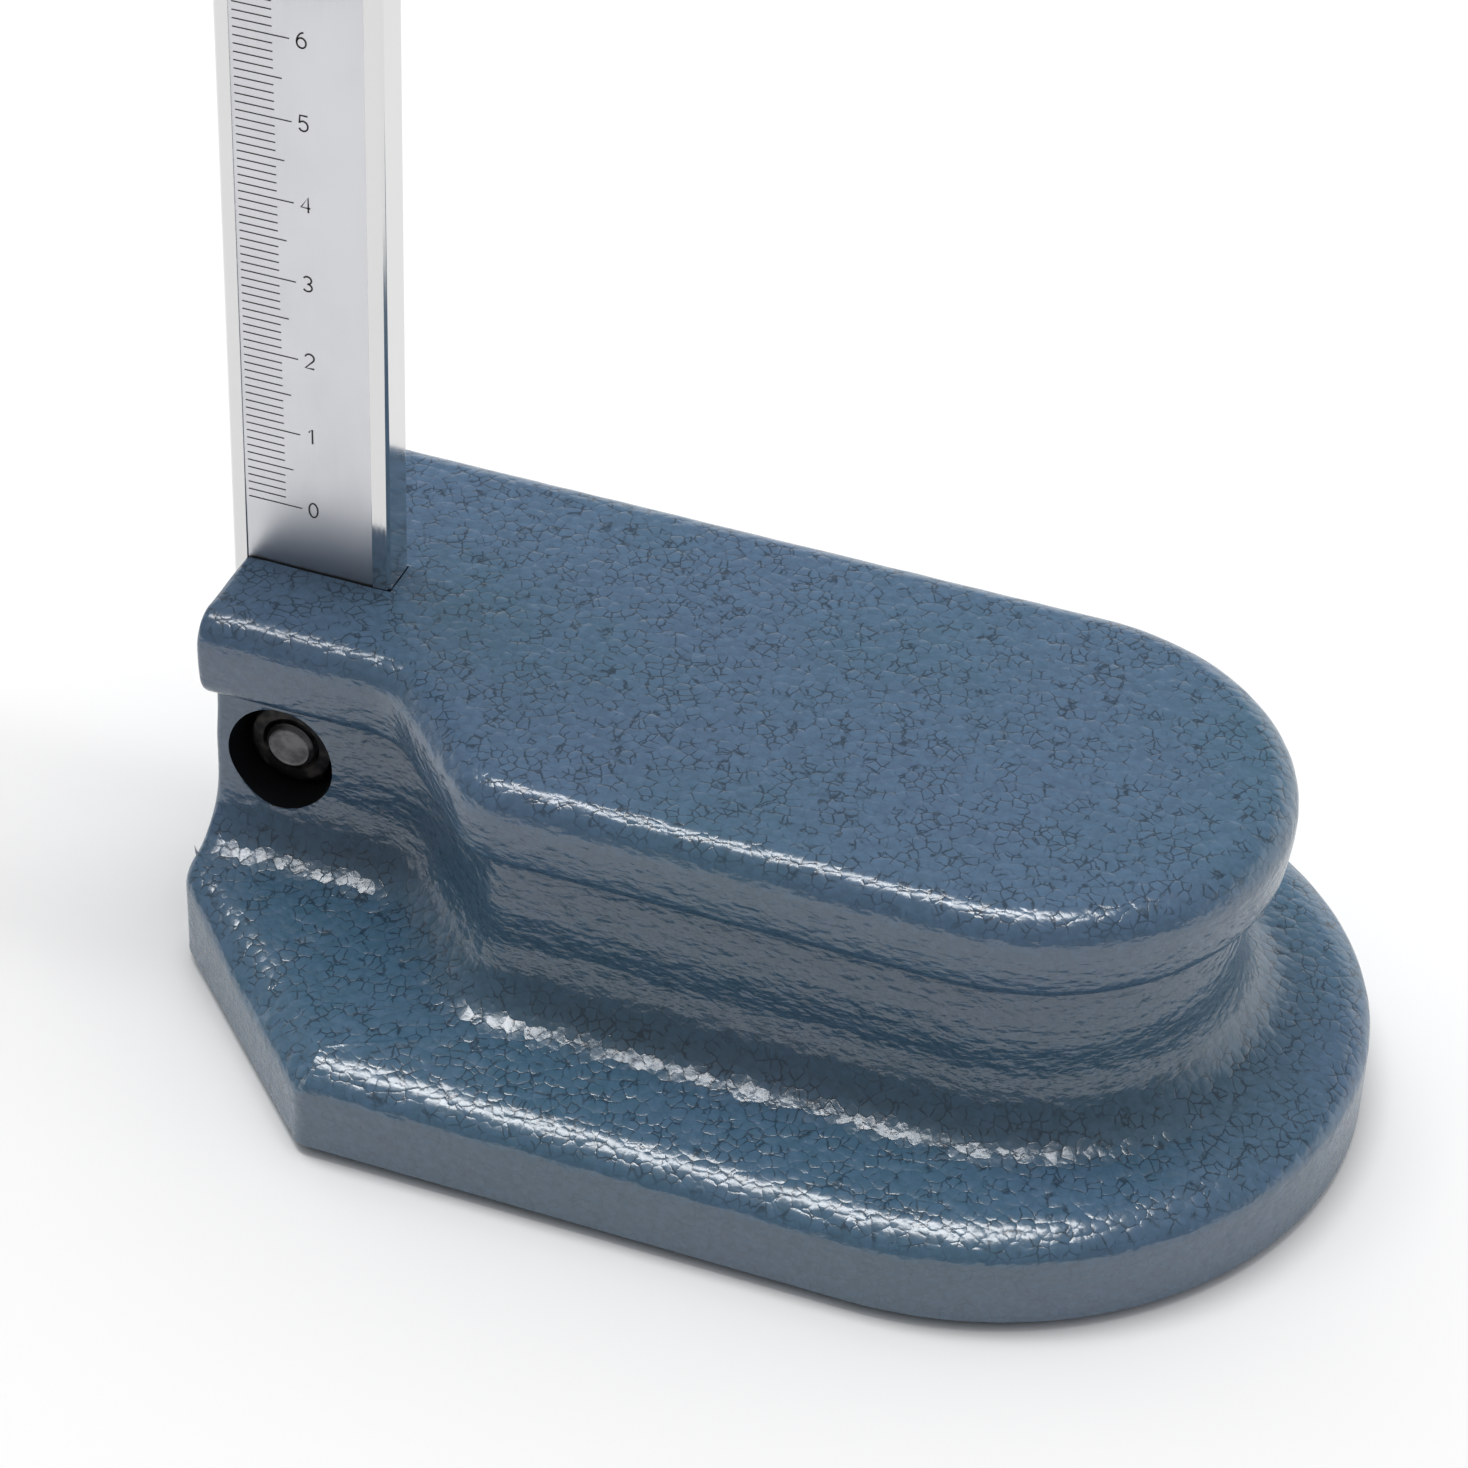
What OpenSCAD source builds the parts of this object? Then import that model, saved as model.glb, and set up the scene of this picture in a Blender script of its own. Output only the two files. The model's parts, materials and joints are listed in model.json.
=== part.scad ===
// Surface gauge of the vernier height-gauge kind: an enamelled cast-iron base,
// an upright graduated beam, and a slider with a scriber and a fine feed.
// Millimetres. The sole lies on z = 0 and the beam stands on x = 0. The beam's
// front face is y = 0, the base runs towards +x and the scriber points to -x.

/* [Beam] */
// Width of the beam
beam_w = 19.4; // [18:0.1:22]
// Thickness of the beam
beam_t = 5.2; // [5:0.1:7]
// Width of each ground land beside the scale face
land_w = 1.8; // [1.2:0.1:2.4]
// Depth of the scale face below the lands
face_sink = 0.15; // [0.05:0.05:0.3]
// Bevel along the beam's long edges
beam_bevel = 0.35; // [0.1:0.05:0.6]
// Measuring range, the length of the scale
scale_len = 300; // [200:10:350]
// Height of the scale's zero mark above the base's top face
zero_rise = 8.4; // [8.3:0.1:12]
// Beam left above the fine-feed carriage at the top of the range
beam_spare = 9; // [9:1:20]

/* [Base casting] */
// Height of the base
base_h = 45; // [42:1:50]
// How far the beam overhangs the base's left end
beam_overhang = 1.4; // [0.8:0.1:2]
// Half the width of the waist
waist_half = 24.6; // [22:0.2:27]
// Waist face of the neck, in front of the beam's face
neck_front = 9.1; // [8.5:0.1:10]
// Where the flare leaves the neck, from the beam's axis
flare_x = 17.4; // [16:0.2:20]
// Centre of the waist's round end, from the beam's axis
waist_end_x = 85.8; // [76:0.2:95]
// Fillet in the corner between neck and flare
neck_fillet = 12; // [11.8:0.2:13]
// Round on the corner between flare and front
flare_round = 4; // [2:0.5:6]
// Overhang of the top plate past the waist
lip = 4.6; // [4.2:0.1:5.4]
// Radius of the top plate's upper edge
lip_r = 4; // [3:0.1:4.1]
// Radius of the top plate's underside
lip_under_r = 8; // [7.5:0.1:8.6]
// Fillet between the underside and the waist
under_fillet = 2; // [1.2:0.1:2.4]
// Radius of the cove at the foot of the waist
cove_r = 8.5; // [7.5:0.1:8.7]
// Height of the cove's foot
foot_z = 13.8; // [13:0.1:14.6]
// Half the width of the flange
flange_half = 44.6; // [43:0.2:48]
// Centre of the flange's round end, from the beam's axis
flange_end_x = 81.8; // [76:0.2:90]
// Flange corner at the left end, in front of the beam's face
flange_neck = 18.9; // [18:0.1:20]
// Height of the flange's top at its edge
flange_z = 12.2; // [11.6:0.1:12.8]
// Radius of the flange's upper edge
flange_r = 3.4; // [2.6:0.1:4]
// Depth of the relief under the sole
relief_z = 2.5; // [1.5:0.5:4]
// Width of the sole's bearing rim
rim_w = 10.6; // [8:0.2:13]
// Sole left solid to the right of the beam's axis
rim_end = 15; // [12:1:20]

/* [Beam clamp] */
// Height of the clamp bolt
clamp_z = 24.9; // [23:0.1:26]
// Diameter of the nut's well in the waist
well_d = 13; // [12.6:0.1:13.6]
// Height of the slot's floor
slot_floor = 8; // [6:0.5:10]
// Nominal diameter of the clamp bolt
bolt_d = 6; // [5:0.5:6.5]
// Length of the clamp bolt under its head
bolt_len = 25; // [24:0.5:28]
// Width of the nut across its flats
nut_af = 10; // [9:0.1:10.4]
// Height of the nut
nut_h = 5; // [4:0.1:5.2]
// Diameter of the washer
washer_d = 12; // [11:0.1:12.2]
// Thickness of the washer
washer_t = 1.6; // [1:0.1:1.8]

/* [Slider] */
// Reading of the slider as drawn
reading = 150; // [100:1:200]
// Height of the slider
slider_h = 58; // [56:1:64]
// Slider below the vernier's zero line
slider_drop = 8; // [7.6:0.1:8.2]
// Thickness of the slider's front wall
front_wall = 4; // [3.8:0.1:5]
// Thickness of the slider's rear wall
rear_wall = 3.6; // [3:0.1:5]
// Thickness of the slider's right wall
side_wall = 6; // [5.5:0.1:8]
// Width of the leg that carries the jaw
leg_w = 12.7; // [12.5:0.1:15]
// Thickness of the leg and jaw
leg_t = 9.2; // [8.4:0.1:10.4]
// Length of the window over the scale
window_len = 50; // [49.5:0.1:50.5]
// Window below the vernier's zero line
window_below = 5; // [4.6:0.1:5.2]
// Width of the window over the scale
window_w = 16.6; // [16:0.1:17]
// Running clearance of sliding fits
run_gap = 0.05; // [0.03:0.01:0.08]
// Thickness of the gib strips
gib_t = 1.2; // [1:0.1:1.5]
// Width of the gib strips
gib_w = 4.4; // [4:0.1:4.6]

/* [Vernier] */
// Width of the vernier plate
vernier_w = 9.9; // [9.2:0.1:10.5]
// Length of the vernier plate
vernier_len = 52; // [51:0.2:52.5]
// Thickness of the vernier plate
vernier_t = 2.2; // [1.8:0.1:2.4]
// Width of the vernier plate's sloping edge
vernier_slope = 3.4; // [3:0.1:3.8]

/* [Jaw and scriber] */
// Length of the jaw past the leg
jaw_len = 32; // [30:1:40]
// Height of the jaw
jaw_h = 9; // [8:0.5:11]
// Height of the scriber's shank
shank_h = 7; // [6:0.5:8]
// Drop from the shank's underside to the measuring face
nose_drop = 5; // [4.6:0.1:6]
// Width of the scriber
scriber_w = 9; // [8:0.1:9.2]
// Length of the scriber
scriber_len = 66; // [64:1:80]
// Length of the scriber's nose
nose_len = 26; // [22:1:28]
// Width of the scriber's edge
edge_w = 3.2; // [2:0.2:5]
// Length of the carbide tip
tip_len = 11; // [8:0.5:12]
// Height of the carbide tip
tip_h = 2.6; // [2:0.1:3]
// Thickness of the clamp shackle along the jaw
shackle_t = 12; // [10:0.5:14]
// Thickness of the shackle's cheeks and lower bar
shackle_wall = 4; // [3.4:0.1:4.2]
// Thickness of the shackle's head
shackle_head = 9; // [8:0.5:11]
// Free height over the jaw inside the shackle
shackle_free = 3; // [2:0.5:4]

/* [Fine feed] */
// Height of the carriage
carriage_h = 24; // [23:0.5:28]
// Gap between slider and carriage
feed_gap = 9; // [8:0.5:12]
// Thickness of the carriage's left wall beside the beam
nut_wall = 1.5; // [1.2:0.1:2]
// Diameter of the feed spindle
spindle_d = 5; // [4:0.5:5]
// Depth of the spindle's seat in the slider
spindle_seat = 11; // [9:0.5:13]
// Diameter of the feed nut
feed_nut_d = 12; // [11:0.5:12]
// Thickness of the feed nut
feed_nut_h = 8.7; // [7:0.1:9.5]
// Thickness of the lug that holds the feed nut
lug_t = 8.2; // [7.6:0.1:9]

/* [Screws] */
// Diameter of the thumb screws
thumb_d = 5; // [4:0.5:5.5]
// Diameter of the thumb screws' heads
thumb_head_d = 13; // [11:0.5:15]
// Length of the thumb screws' heads
thumb_head_l = 8; // [7:0.5:10]
// Diameter of the gib's set screws
set_d = 3; // [2.5:0.5:4]
// Diameter of the small slotted screws
small_d = 2; // [1.6:0.1:2.5]
// Diameter of the beam's stop screw
stop_d = 4; // [3:0.5:5]

/* [Hidden] */

$fn = 96;
eps = 0.5;          // how far a cut runs past the face it opens
far = 200;          // longer than any run of the base
seat_gap = 0.05;    // clearance of parts that stay put
thread_gap = 0.05;  // radial clearance of a screw in its thread
set_hole_d = set_d + 2 * thread_gap;
thumb_hole_d = thumb_d + 2 * thread_gap;
small_hole_d = small_d + 2 * thread_gap;
spindle_hole_d = spindle_d + 2 * thread_gap;

// beam
beam_half = beam_w / 2;
beam_mid = beam_t / 2;
zero_z = base_h + zero_rise;
// base outline, seen from above
end_x = beam_overhang - beam_half;
corner_t = tan(22.5);
neck_stop = flare_x - neck_fillet * corner_t;
fillet_y = -neck_front - neck_fillet;
flare_top = [neck_stop + neck_fillet * sin(45), fillet_y + neck_fillet * cos(45)];
round_x = flare_x + waist_half - neck_front + flare_round * corner_t;
round_y = flare_round - waist_half;
flare_low = [round_x - flare_round * sin(45), round_y - flare_round * cos(45)];
flare_len = norm(flare_top - flare_low);
core_depth = waist_half - neck_front + flare_round;
// base section: outwards from the waist's face, and height
lip_z = base_h - lip_r;
under_d = lip - lip_under_r;
under_reach = lip_under_r + under_fillet;
under_z = lip_z - sqrt(pow(under_reach, 2) - pow(under_fillet - under_d, 2));
touch = lip_under_r / under_reach;
touch_d = under_d + (under_fillet - under_d) * touch;
touch_z = lip_z + (under_z - lip_z) * touch;
root_z = flange_z - flange_r - 1;
skirt = 3;
skirt_drop = 1.4;
slope = (foot_z - flange_z) / (flange_half - flange_r - waist_half - cove_r);
flare_slope = tan(60);
flare_slope_z = foot_z + cove_r;
sole_bevel = 0.8;
// beam clamp
head_d = bolt_d * 10 / 6;
head_well_d = head_d + 1.5;
bolt_proud = 0.7;
bolt_tip_y = -washer_t - nut_h - bolt_proud;
bolt_seat_y = bolt_tip_y + bolt_len;
hole_play = 0.4;
bolt_hole_d = bolt_d + hole_play;
hex_af = bolt_d * 5 / 6;
// slider
vernier_z = zero_z + reading;
slider_z = vernier_z - slider_drop;
slider_top = slider_z + slider_h;
channel_x = beam_half + run_gap;
gib_x = channel_x;
wall_x = gib_x + gib_t + run_gap;
right_x = wall_x + side_wall;
leg_x = -channel_x - leg_w;
leg_y = beam_mid - leg_t / 2;
front_y = -run_gap - front_wall;
rear_y = beam_t + run_gap + rear_wall;
window_z = vernier_z - window_below;
window_land = 1.2;
window_x = -beam_half + window_land;
set_zs = [slider_z + slider_h * 0.17, slider_z + slider_h * 0.83];
lock_z = slider_z + slider_h / 2;
// jaw and scriber, measured from the measuring face
measure_z = reading;
jaw_z = measure_z + nose_drop + shank_h;
jaw_end = leg_x - jaw_len;
shank_z = measure_z + nose_drop;
scriber_inset = 3.5;
scriber_x = leg_x - scriber_inset;
tip_x = scriber_x - scriber_len;
shackle_x = leg_x - jaw_len / 2;
shackle_gap = 0.1;
shackle_z = shank_z - shackle_gap - shackle_wall;
shackle_in = leg_t / 2 + shackle_gap;
shackle_top = jaw_z + jaw_h + shackle_free;
// vernier
vernier_reach = 2.5;
vernier_x = -beam_half + vernier_reach;
pocket_floor = 1;
vernier_y = -run_gap - pocket_floor;
vernier_air = 0.15;
vernier_lip_y = -run_gap - vernier_air;
vernier_lip = 1.2;
vernier_edge_t = 0.6;
vernier_low = window_z + window_len / 2 - vernier_len / 2;
vernier_screw_inset = 2.6;
vernier_zs = [vernier_low + vernier_screw_inset, vernier_low + vernier_len - vernier_screw_inset];
vernier_screw_side = 3.5;
vernier_screw_x = vernier_x - vernier_w + vernier_screw_side;
screw_grip = 3;
// fine feed
carriage_z = slider_top + feed_gap;
carriage_top = carriage_z + carriage_h;
nut_play = 0.3;
spindle_x = -channel_x - nut_wall - nut_play - feed_nut_d / 2;
notch_h = feed_nut_h + nut_play;
notch_z = carriage_z + (carriage_h - notch_h) / 2;
nut_proud = 0.6;
carriage_left = spindle_x - feed_nut_d / 2 + nut_proud;
carriage_wall = 3.4;
carriage_lock_z = carriage_z + carriage_h / 2;
beam_top = zero_z + scale_len - slider_drop + slider_h + feed_gap + carriage_h + beam_spare;
stop_inset = 4.5;
stop_z = beam_top - stop_inset;

enamel = [0.31, 0.40, 0.49];
steel = [0.80, 0.80, 0.81];
dark_steel = [0.16, 0.16, 0.17];
brass = [0.76, 0.62, 0.32];
carbide = [0.42, 0.42, 0.44];

// ---- base casting ----

// Section of top plate, waist and cove, d outwards from the waist, to a depth inwards
module waist_section(depth) {
    translate([-depth, root_z])
        square([depth, base_h - root_z]);
    translate([-depth, lip_z])
        square([depth + lip - lip_r, lip_r]);
    intersection() {
        translate([lip - lip_r, lip_z])
            circle(r = lip_r);
        translate([0, lip_z])
            square([lip + eps, lip_r + eps]);
    }
    intersection() {
        translate([under_d, lip_z])
            circle(r = lip_under_r);
        translate([0, touch_z])
            square([lip + eps, lip_z - touch_z]);
    }
    difference() {
        translate([0, under_z])
            square([touch_d, touch_z - under_z]);
        translate([under_fillet, under_z])
            circle(r = under_fillet);
    }
    difference() {
        translate([0, foot_z])
            square([cove_r, cove_r]);
        translate([cove_r, foot_z + cove_r])
            circle(r = cove_r);
    }
    polygon([
        [-depth, root_z],
        [cove_r + skirt, root_z],
        [cove_r + skirt, foot_z - skirt_drop],
        [cove_r, foot_z],
        [-depth, foot_z]
    ]);
}

// A section carried along a straight: d points along the heading
module run(start, heading, length) {
    translate([start[0], start[1], 0])
        rotate([90, 0, heading])
            linear_extrude(height = length)
                children();
}

// A section carried round a corner: d points outwards from a centre inside
module bend(centre, from, angle, radius) {
    translate([centre[0], centre[1], 0])
        rotate([0, 0, from])
            rotate_extrude(angle = angle)
                intersection() {
                    translate([radius, 0])
                        children();
                    square([far, 2 * base_h]);
                }
}

// Top plate, waist and cove along neck, flare, front, round end and rear
module upper_base() {
    run([neck_stop, -neck_front], -90, neck_stop - end_x)
        waist_section(neck_front);
    bend([neck_stop, fillet_y], 45, 45, neck_fillet)
        mirror([1, 0])
            waist_section(neck_front);
    run(flare_low, -135, flare_len)
        waist_section(core_depth);
    bend([round_x, round_y], -135, 45, flare_round)
        waist_section(flare_round);
    run([waist_end_x, -waist_half], -90, waist_end_x - round_x)
        waist_section(waist_half);
    bend([waist_end_x, 0], -90, 180, waist_half)
        waist_section(waist_half);
    run([end_x, waist_half], 90, waist_end_x - end_x)
        waist_section(waist_half);
    translate([end_x, -neck_front / 2, root_z])
        cube([waist_end_x - end_x, waist_half, base_h - root_z]);
}

// Half section of the flange, from its middle out to its edge
module flange_section() {
    inner = flange_half - flange_r;
    difference() {
        union() {
            polygon([
                [0, 0],
                [flange_half, 0],
                [flange_half, flange_z - flange_r],
                [inner, flange_z - flange_r],
                [inner, flange_z],
                [0, flange_z + inner * slope]
            ]);
            intersection() {
                translate([inner, flange_z - flange_r])
                    circle(r = flange_r);
                translate([inner, flange_z - flange_r])
                    square(flange_r + eps);
            }
        }
        polygon([
            [flange_half + eps, -eps],
            [flange_half + eps, sole_bevel + eps],
            [flange_half - sole_bevel - eps, -eps]
        ]);
    }
}

module flange() {
    for (side = [-90, 90])
        translate([side < 0 ? flange_end_x : end_x, 0, 0])
            rotate([90, 0, side])
                linear_extrude(height = flange_end_x - end_x)
                    flange_section();
    bend([flange_end_x, 0], -90, 180, 0)
        flange_section();
}

// Everything behind the flange's slanting left side
module flare_side() {
    rise = flare_slope_z - flange_z;
    translate([end_x, -flange_neck, 0])
        rotate([90, 0, 45])
            translate([0, 0, -far])
                linear_extrude(height = 2 * far)
                    union() {
                        polygon([
                            [sole_bevel, 0],
                            [far, 0],
                            [far, base_h + eps],
                            [0, base_h + eps],
                            [0, flare_slope_z],
                            [flange_r + rise / flare_slope, flare_slope_z],
                            [flange_r, flange_z],
                            [flange_r, flange_z - flange_r],
                            [0, flange_z - flange_r],
                            [0, sole_bevel]
                        ]);
                        intersection() {
                            translate([flange_r, flange_z - flange_r])
                                circle(r = flange_r);
                            translate([0, flange_z - flange_r])
                                square(flange_r);
                        }
                    }
}

// A round hole along y
module bore_y(x, z, d, y0, y1) {
    translate([x, y0, z])
        rotate([-90, 0, 0])
            cylinder(d = d, h = y1 - y0);
}

// Flat relief under the sole, inside the bearing rim
module sole_relief() {
    half = flange_half - rim_w;
    translate([0, 0, -eps])
        linear_extrude(height = relief_z + eps)
            union() {
                translate([rim_end, -half])
                    square([flange_end_x - rim_end, 2 * half]);
                translate([flange_end_x, 0])
                    circle(r = half);
            }
}

module base_casting() {
    color(enamel)
        difference() {
            intersection() {
                union() {
                    flange();
                    upper_base();
                }
                flare_side();
            }
            translate([end_x - eps, -seat_gap, slot_floor])
                cube([beam_half - end_x + seat_gap + eps, beam_t + 2 * seat_gap, base_h]);
            bore_y(0, clamp_z, well_d, -neck_front - lip, 0);
            bore_y(0, clamp_z, bolt_hole_d, 0, far / 4);
            bore_y(0, clamp_z, head_well_d, bolt_seat_y, far / 4);
            sole_relief();
        }
}

// ---- beam and its clamp ----

module beam() {
    face_l = -beam_half + land_w;
    color(steel)
        difference() {
            translate([0, 0, slot_floor + seat_gap])
                linear_extrude(height = beam_top - slot_floor - seat_gap)
                    polygon([
                        [-beam_half, beam_bevel],
                        [-beam_half + beam_bevel, 0],
                        [face_l, 0],
                        [face_l, face_sink],
                        [-face_l - beam_bevel, face_sink],
                        [-face_l - beam_bevel, 0],
                        [beam_half - beam_bevel, 0],
                        [beam_half, beam_bevel],
                        [beam_half, beam_t - beam_bevel],
                        [beam_half - beam_bevel, beam_t],
                        [-beam_half + beam_bevel, beam_t],
                        [-beam_half, beam_t - beam_bevel]
                    ]);
            bore_y(0, clamp_z, bolt_hole_d, -eps, beam_t + eps);
            bore_y(0, stop_z, stop_d + 2 * thread_gap, -eps, beam_t + eps);
        }
}

module clamp_bolt() {
    chamfer = 0.5;
    color(dark_steel)
        difference() {
            union() {
                bore_y(0, clamp_z, bolt_d, bolt_tip_y + chamfer, bolt_seat_y);
                translate([0, bolt_tip_y, clamp_z])
                    rotate([-90, 0, 0])
                        cylinder(d1 = bolt_d - 2 * chamfer, d2 = bolt_d, h = chamfer);
                bore_y(0, clamp_z, head_d, bolt_seat_y, bolt_seat_y + bolt_d);
            }
            translate([0, bolt_seat_y + bolt_d / 2, clamp_z])
                rotate([-90, 0, 0])
                    cylinder(d = hex_af / cos(30), h = bolt_d, $fn = 6);
        }
}

module clamp_washer() {
    color(dark_steel)
        difference() {
            bore_y(0, clamp_z, washer_d, -washer_t, 0);
            bore_y(0, clamp_z, bolt_hole_d, -washer_t - eps, eps);
        }
}

// Hexagon nut with its outer corners turned away
module clamp_nut() {
    corner_d = nut_af / cos(30);
    turned = (corner_d - nut_af) / 4;
    nut_y = -washer_t - nut_h;
    color(dark_steel)
        difference() {
            intersection() {
                translate([0, nut_y, clamp_z])
                    rotate([-90, 0, 0])
                        cylinder(d = corner_d, h = nut_h, $fn = 6);
                translate([0, nut_y, clamp_z])
                    rotate([-90, 0, 0])
                        cylinder(d1 = nut_af, d2 = nut_af + 2 * nut_h / turned, h = nut_h);
            }
            bore_y(0, clamp_z, bolt_d + 2 * thread_gap, nut_y - eps, eps);
        }
}

// Slotted cheese-head screw whose head sits on a face at y
module slotted_screw_y(x, y, z, d, grip) {
    head_h = d * 0.6;
    slot_w = d * 0.25;
    bore_y(x, z, d, y, y + grip);
    difference() {
        bore_y(x, z, d * 1.9, y - head_h, y);
        translate([x - d, y - head_h - eps, z - slot_w / 2])
            cube([2 * d, eps + head_h * 0.45, slot_w]);
    }
}

module beam_stop_screw() {
    color(dark_steel)
        slotted_screw_y(0, 0, stop_z, stop_d, beam_t);
}

// ---- slider ----

// The channel that runs on the beam, with room for a gib on the right
module beam_channel(z, height) {
    translate([-channel_x, -run_gap, z - eps])
        cube([channel_x + wall_x, beam_t + 2 * run_gap, height + 2 * eps]);
}

// A round hole along x
module bore_x(y, z, d, x0, x1) {
    translate([x0, y, z])
        rotate([0, 90, 0])
            cylinder(d = d, h = x1 - x0);
}

module jaw_leg() {
    inner_r = 5;
    translate([0, leg_y + leg_t, 0])
        rotate([90, 0, 0])
            linear_extrude(height = leg_t)
                union() {
                    translate([leg_x, jaw_z])
                        square([leg_w, slider_z + slider_h - jaw_z]);
                    translate([jaw_end, jaw_z])
                        square([jaw_len + eps, jaw_h]);
                    difference() {
                        translate([leg_x - inner_r, jaw_z + jaw_h])
                            square(inner_r);
                        translate([leg_x - inner_r, jaw_z + jaw_h + inner_r])
                            circle(r = inner_r);
                    }
                }
}

module slider_frame() {
    color(steel)
        difference() {
            union() {
                translate([leg_x, front_y, slider_z])
                    cube([right_x - leg_x, rear_y - front_y, slider_h]);
                jaw_leg();
            }
            beam_channel(slider_z, slider_h);
            translate([window_x, front_y - eps, window_z])
                cube([window_w, front_wall + 2 * eps, window_len]);
            translate([vernier_x - vernier_w - seat_gap, front_y - eps, vernier_low - seat_gap])
                cube([vernier_w + seat_gap, vernier_y - front_y + eps, vernier_len + 2 * seat_gap]);
            translate([spindle_x, beam_mid, slider_top - spindle_seat])
                cylinder(d = spindle_hole_d, h = spindle_seat + eps);
            bore_x(beam_mid, slider_top - spindle_seat / 2, set_hole_d, leg_x - eps, spindle_x);
            bore_x(beam_mid, lock_z, thumb_hole_d, wall_x - eps, right_x + eps);
            for (z = set_zs)
                bore_x(beam_mid, z, set_hole_d, wall_x - eps, right_x + eps);
            for (z = vernier_zs)
                bore_y(vernier_screw_x, z, small_hole_d, vernier_y - eps, vernier_y + screw_grip + eps);
        }
}

// A gib strip beside the beam, with a relief at both ends
module gib(z, height) {
    end_gap = 1;
    translate([gib_x, beam_mid - gib_w / 2, z + end_gap])
        cube([gib_t, gib_w, height - 2 * end_gap]);
}

module slider_gib() {
    color(brass)
        gib(slider_z, slider_h);
}

// Slotted set screw along x, from its point to its slotted end
module set_screw_x(y, z, x0, x1) {
    slot_deep = set_d * 0.3;
    slot_w = set_d * 0.2;
    slotted = x1 > x0 ? x1 - slot_deep : x1 - eps;
    difference() {
        bore_x(y, z, set_d, min(x0, x1), max(x0, x1));
        translate([slotted, y - set_d, z - slot_w / 2])
            cube([slot_deep + eps, 2 * set_d, slot_w]);
    }
}

module gib_set_screws() {
    sunk = 0.6;
    color(dark_steel)
        for (z = set_zs)
            set_screw_x(beam_mid, z, gib_x + gib_t + seat_gap, right_x - sunk);
}

// Grooves round a turned head that stands on z = 0
module grip_grooves(head_d, head_l) {
    grooves = 24;
    groove_d = head_d * PI / grooves * 0.45;
    for (i = [0 : grooves - 1])
        rotate([0, 0, i * 360 / grooves])
            translate([head_d / 2 + groove_d * 0.15, 0, -eps])
                cylinder(d = groove_d, h = head_l + 2 * eps, $fn = 16);
}

// Thumb screw along +z from its point: thread, collar and ribbed head
module thumb_screw(grip) {
    collar_h = 1.2;
    collar_w = 1.3;
    cylinder(d = thumb_d, h = grip + collar_h);
    translate([0, 0, grip])
        cylinder(d = thumb_d + 2 * collar_w, h = collar_h);
    translate([0, 0, grip + collar_h])
        difference() {
            cylinder(d = thumb_head_d, h = thumb_head_l);
            grip_grooves(thumb_head_d, thumb_head_l);
        }
}

// Thumb screw that presses a gib from the right
module lock_screw(z) {
    point_x = gib_x + gib_t + seat_gap;
    translate([point_x, beam_mid, z])
        rotate([0, 90, 0])
            thumb_screw(right_x + 2 * seat_gap - point_x);
}

module slider_lock_screw() {
    color(steel)
        lock_screw(lock_z);
}

// ---- vernier ----

module vernier_plate() {
    top_y = vernier_y - vernier_t;
    color(steel)
        difference() {
            translate([0, 0, vernier_low])
                linear_extrude(height = vernier_len)
                    polygon([
                        [vernier_x - vernier_w, vernier_y],
                        [vernier_x - vernier_w, top_y],
                        [vernier_x - vernier_slope, top_y],
                        [vernier_x, vernier_lip_y - vernier_edge_t],
                        [vernier_x, vernier_lip_y],
                        [vernier_x - vernier_lip, vernier_lip_y],
                        [vernier_x - vernier_lip, vernier_y]
                    ]);
            translate([window_x, -far, vernier_low - eps])
                cube([vernier_w, 2 * far, window_z - vernier_low + seat_gap + eps]);
            translate([window_x, -far, window_z + window_len - seat_gap])
                cube([vernier_w, 2 * far, vernier_len]);
            for (z = vernier_zs)
                bore_y(vernier_screw_x, z, small_d + hole_play, top_y - eps, vernier_y + eps);
        }
}

module vernier_screws() {
    color(dark_steel)
        for (z = vernier_zs)
            slotted_screw_y(vernier_screw_x, vernier_y - vernier_t, z, small_d, vernier_t + screw_grip);
}

// ---- fine feed ----

module feed_carriage() {
    front = -run_gap - carriage_wall;
    depth = beam_t - 2 * front;
    lug_y = beam_mid - lug_t / 2;
    color(steel)
        difference() {
            union() {
                translate([-channel_x - nut_wall, front, carriage_z])
                    cube([right_x + channel_x + nut_wall, depth, carriage_h]);
                translate([carriage_left, lug_y, carriage_z])
                    cube([-channel_x - carriage_left, lug_t, carriage_h]);
            }
            beam_channel(carriage_z, carriage_h);
            translate([carriage_left - eps, front - eps, notch_z])
                cube([-channel_x - nut_wall - carriage_left + eps, depth + 2 * eps, notch_h]);
            translate([spindle_x, beam_mid, carriage_z - eps])
                cylinder(d = spindle_d + hole_play, h = carriage_h + 2 * eps);
            bore_x(beam_mid, carriage_lock_z, thumb_hole_d, wall_x - eps, right_x + eps);
        }
}

module carriage_gib() {
    color(brass)
        gib(carriage_z, carriage_h);
}

module carriage_lock_screw() {
    color(steel)
        lock_screw(carriage_lock_z);
}

module feed_spindle() {
    above = 5;
    bottom = slider_top - spindle_seat + seat_gap;
    color(steel)
        translate([spindle_x, beam_mid, bottom])
            cylinder(d = spindle_d, h = carriage_top + above - bottom);
}

module spindle_set_screw() {
    sunk = 0.4;
    point_x = spindle_x - spindle_d / 2 - seat_gap;
    color(dark_steel)
        set_screw_x(beam_mid, slider_top - spindle_seat / 2, point_x, leg_x + sunk);
}

// Ribbed nut between the lug's two ears
module feed_nut() {
    color(steel)
        translate([spindle_x, beam_mid, notch_z + nut_play / 2])
            difference() {
                cylinder(d = feed_nut_d, h = feed_nut_h);
                translate([0, 0, -eps])
                    cylinder(d = spindle_hole_d, h = feed_nut_h + 2 * eps);
                grip_grooves(feed_nut_d, feed_nut_h);
            }
}

// ---- scriber ----

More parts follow.
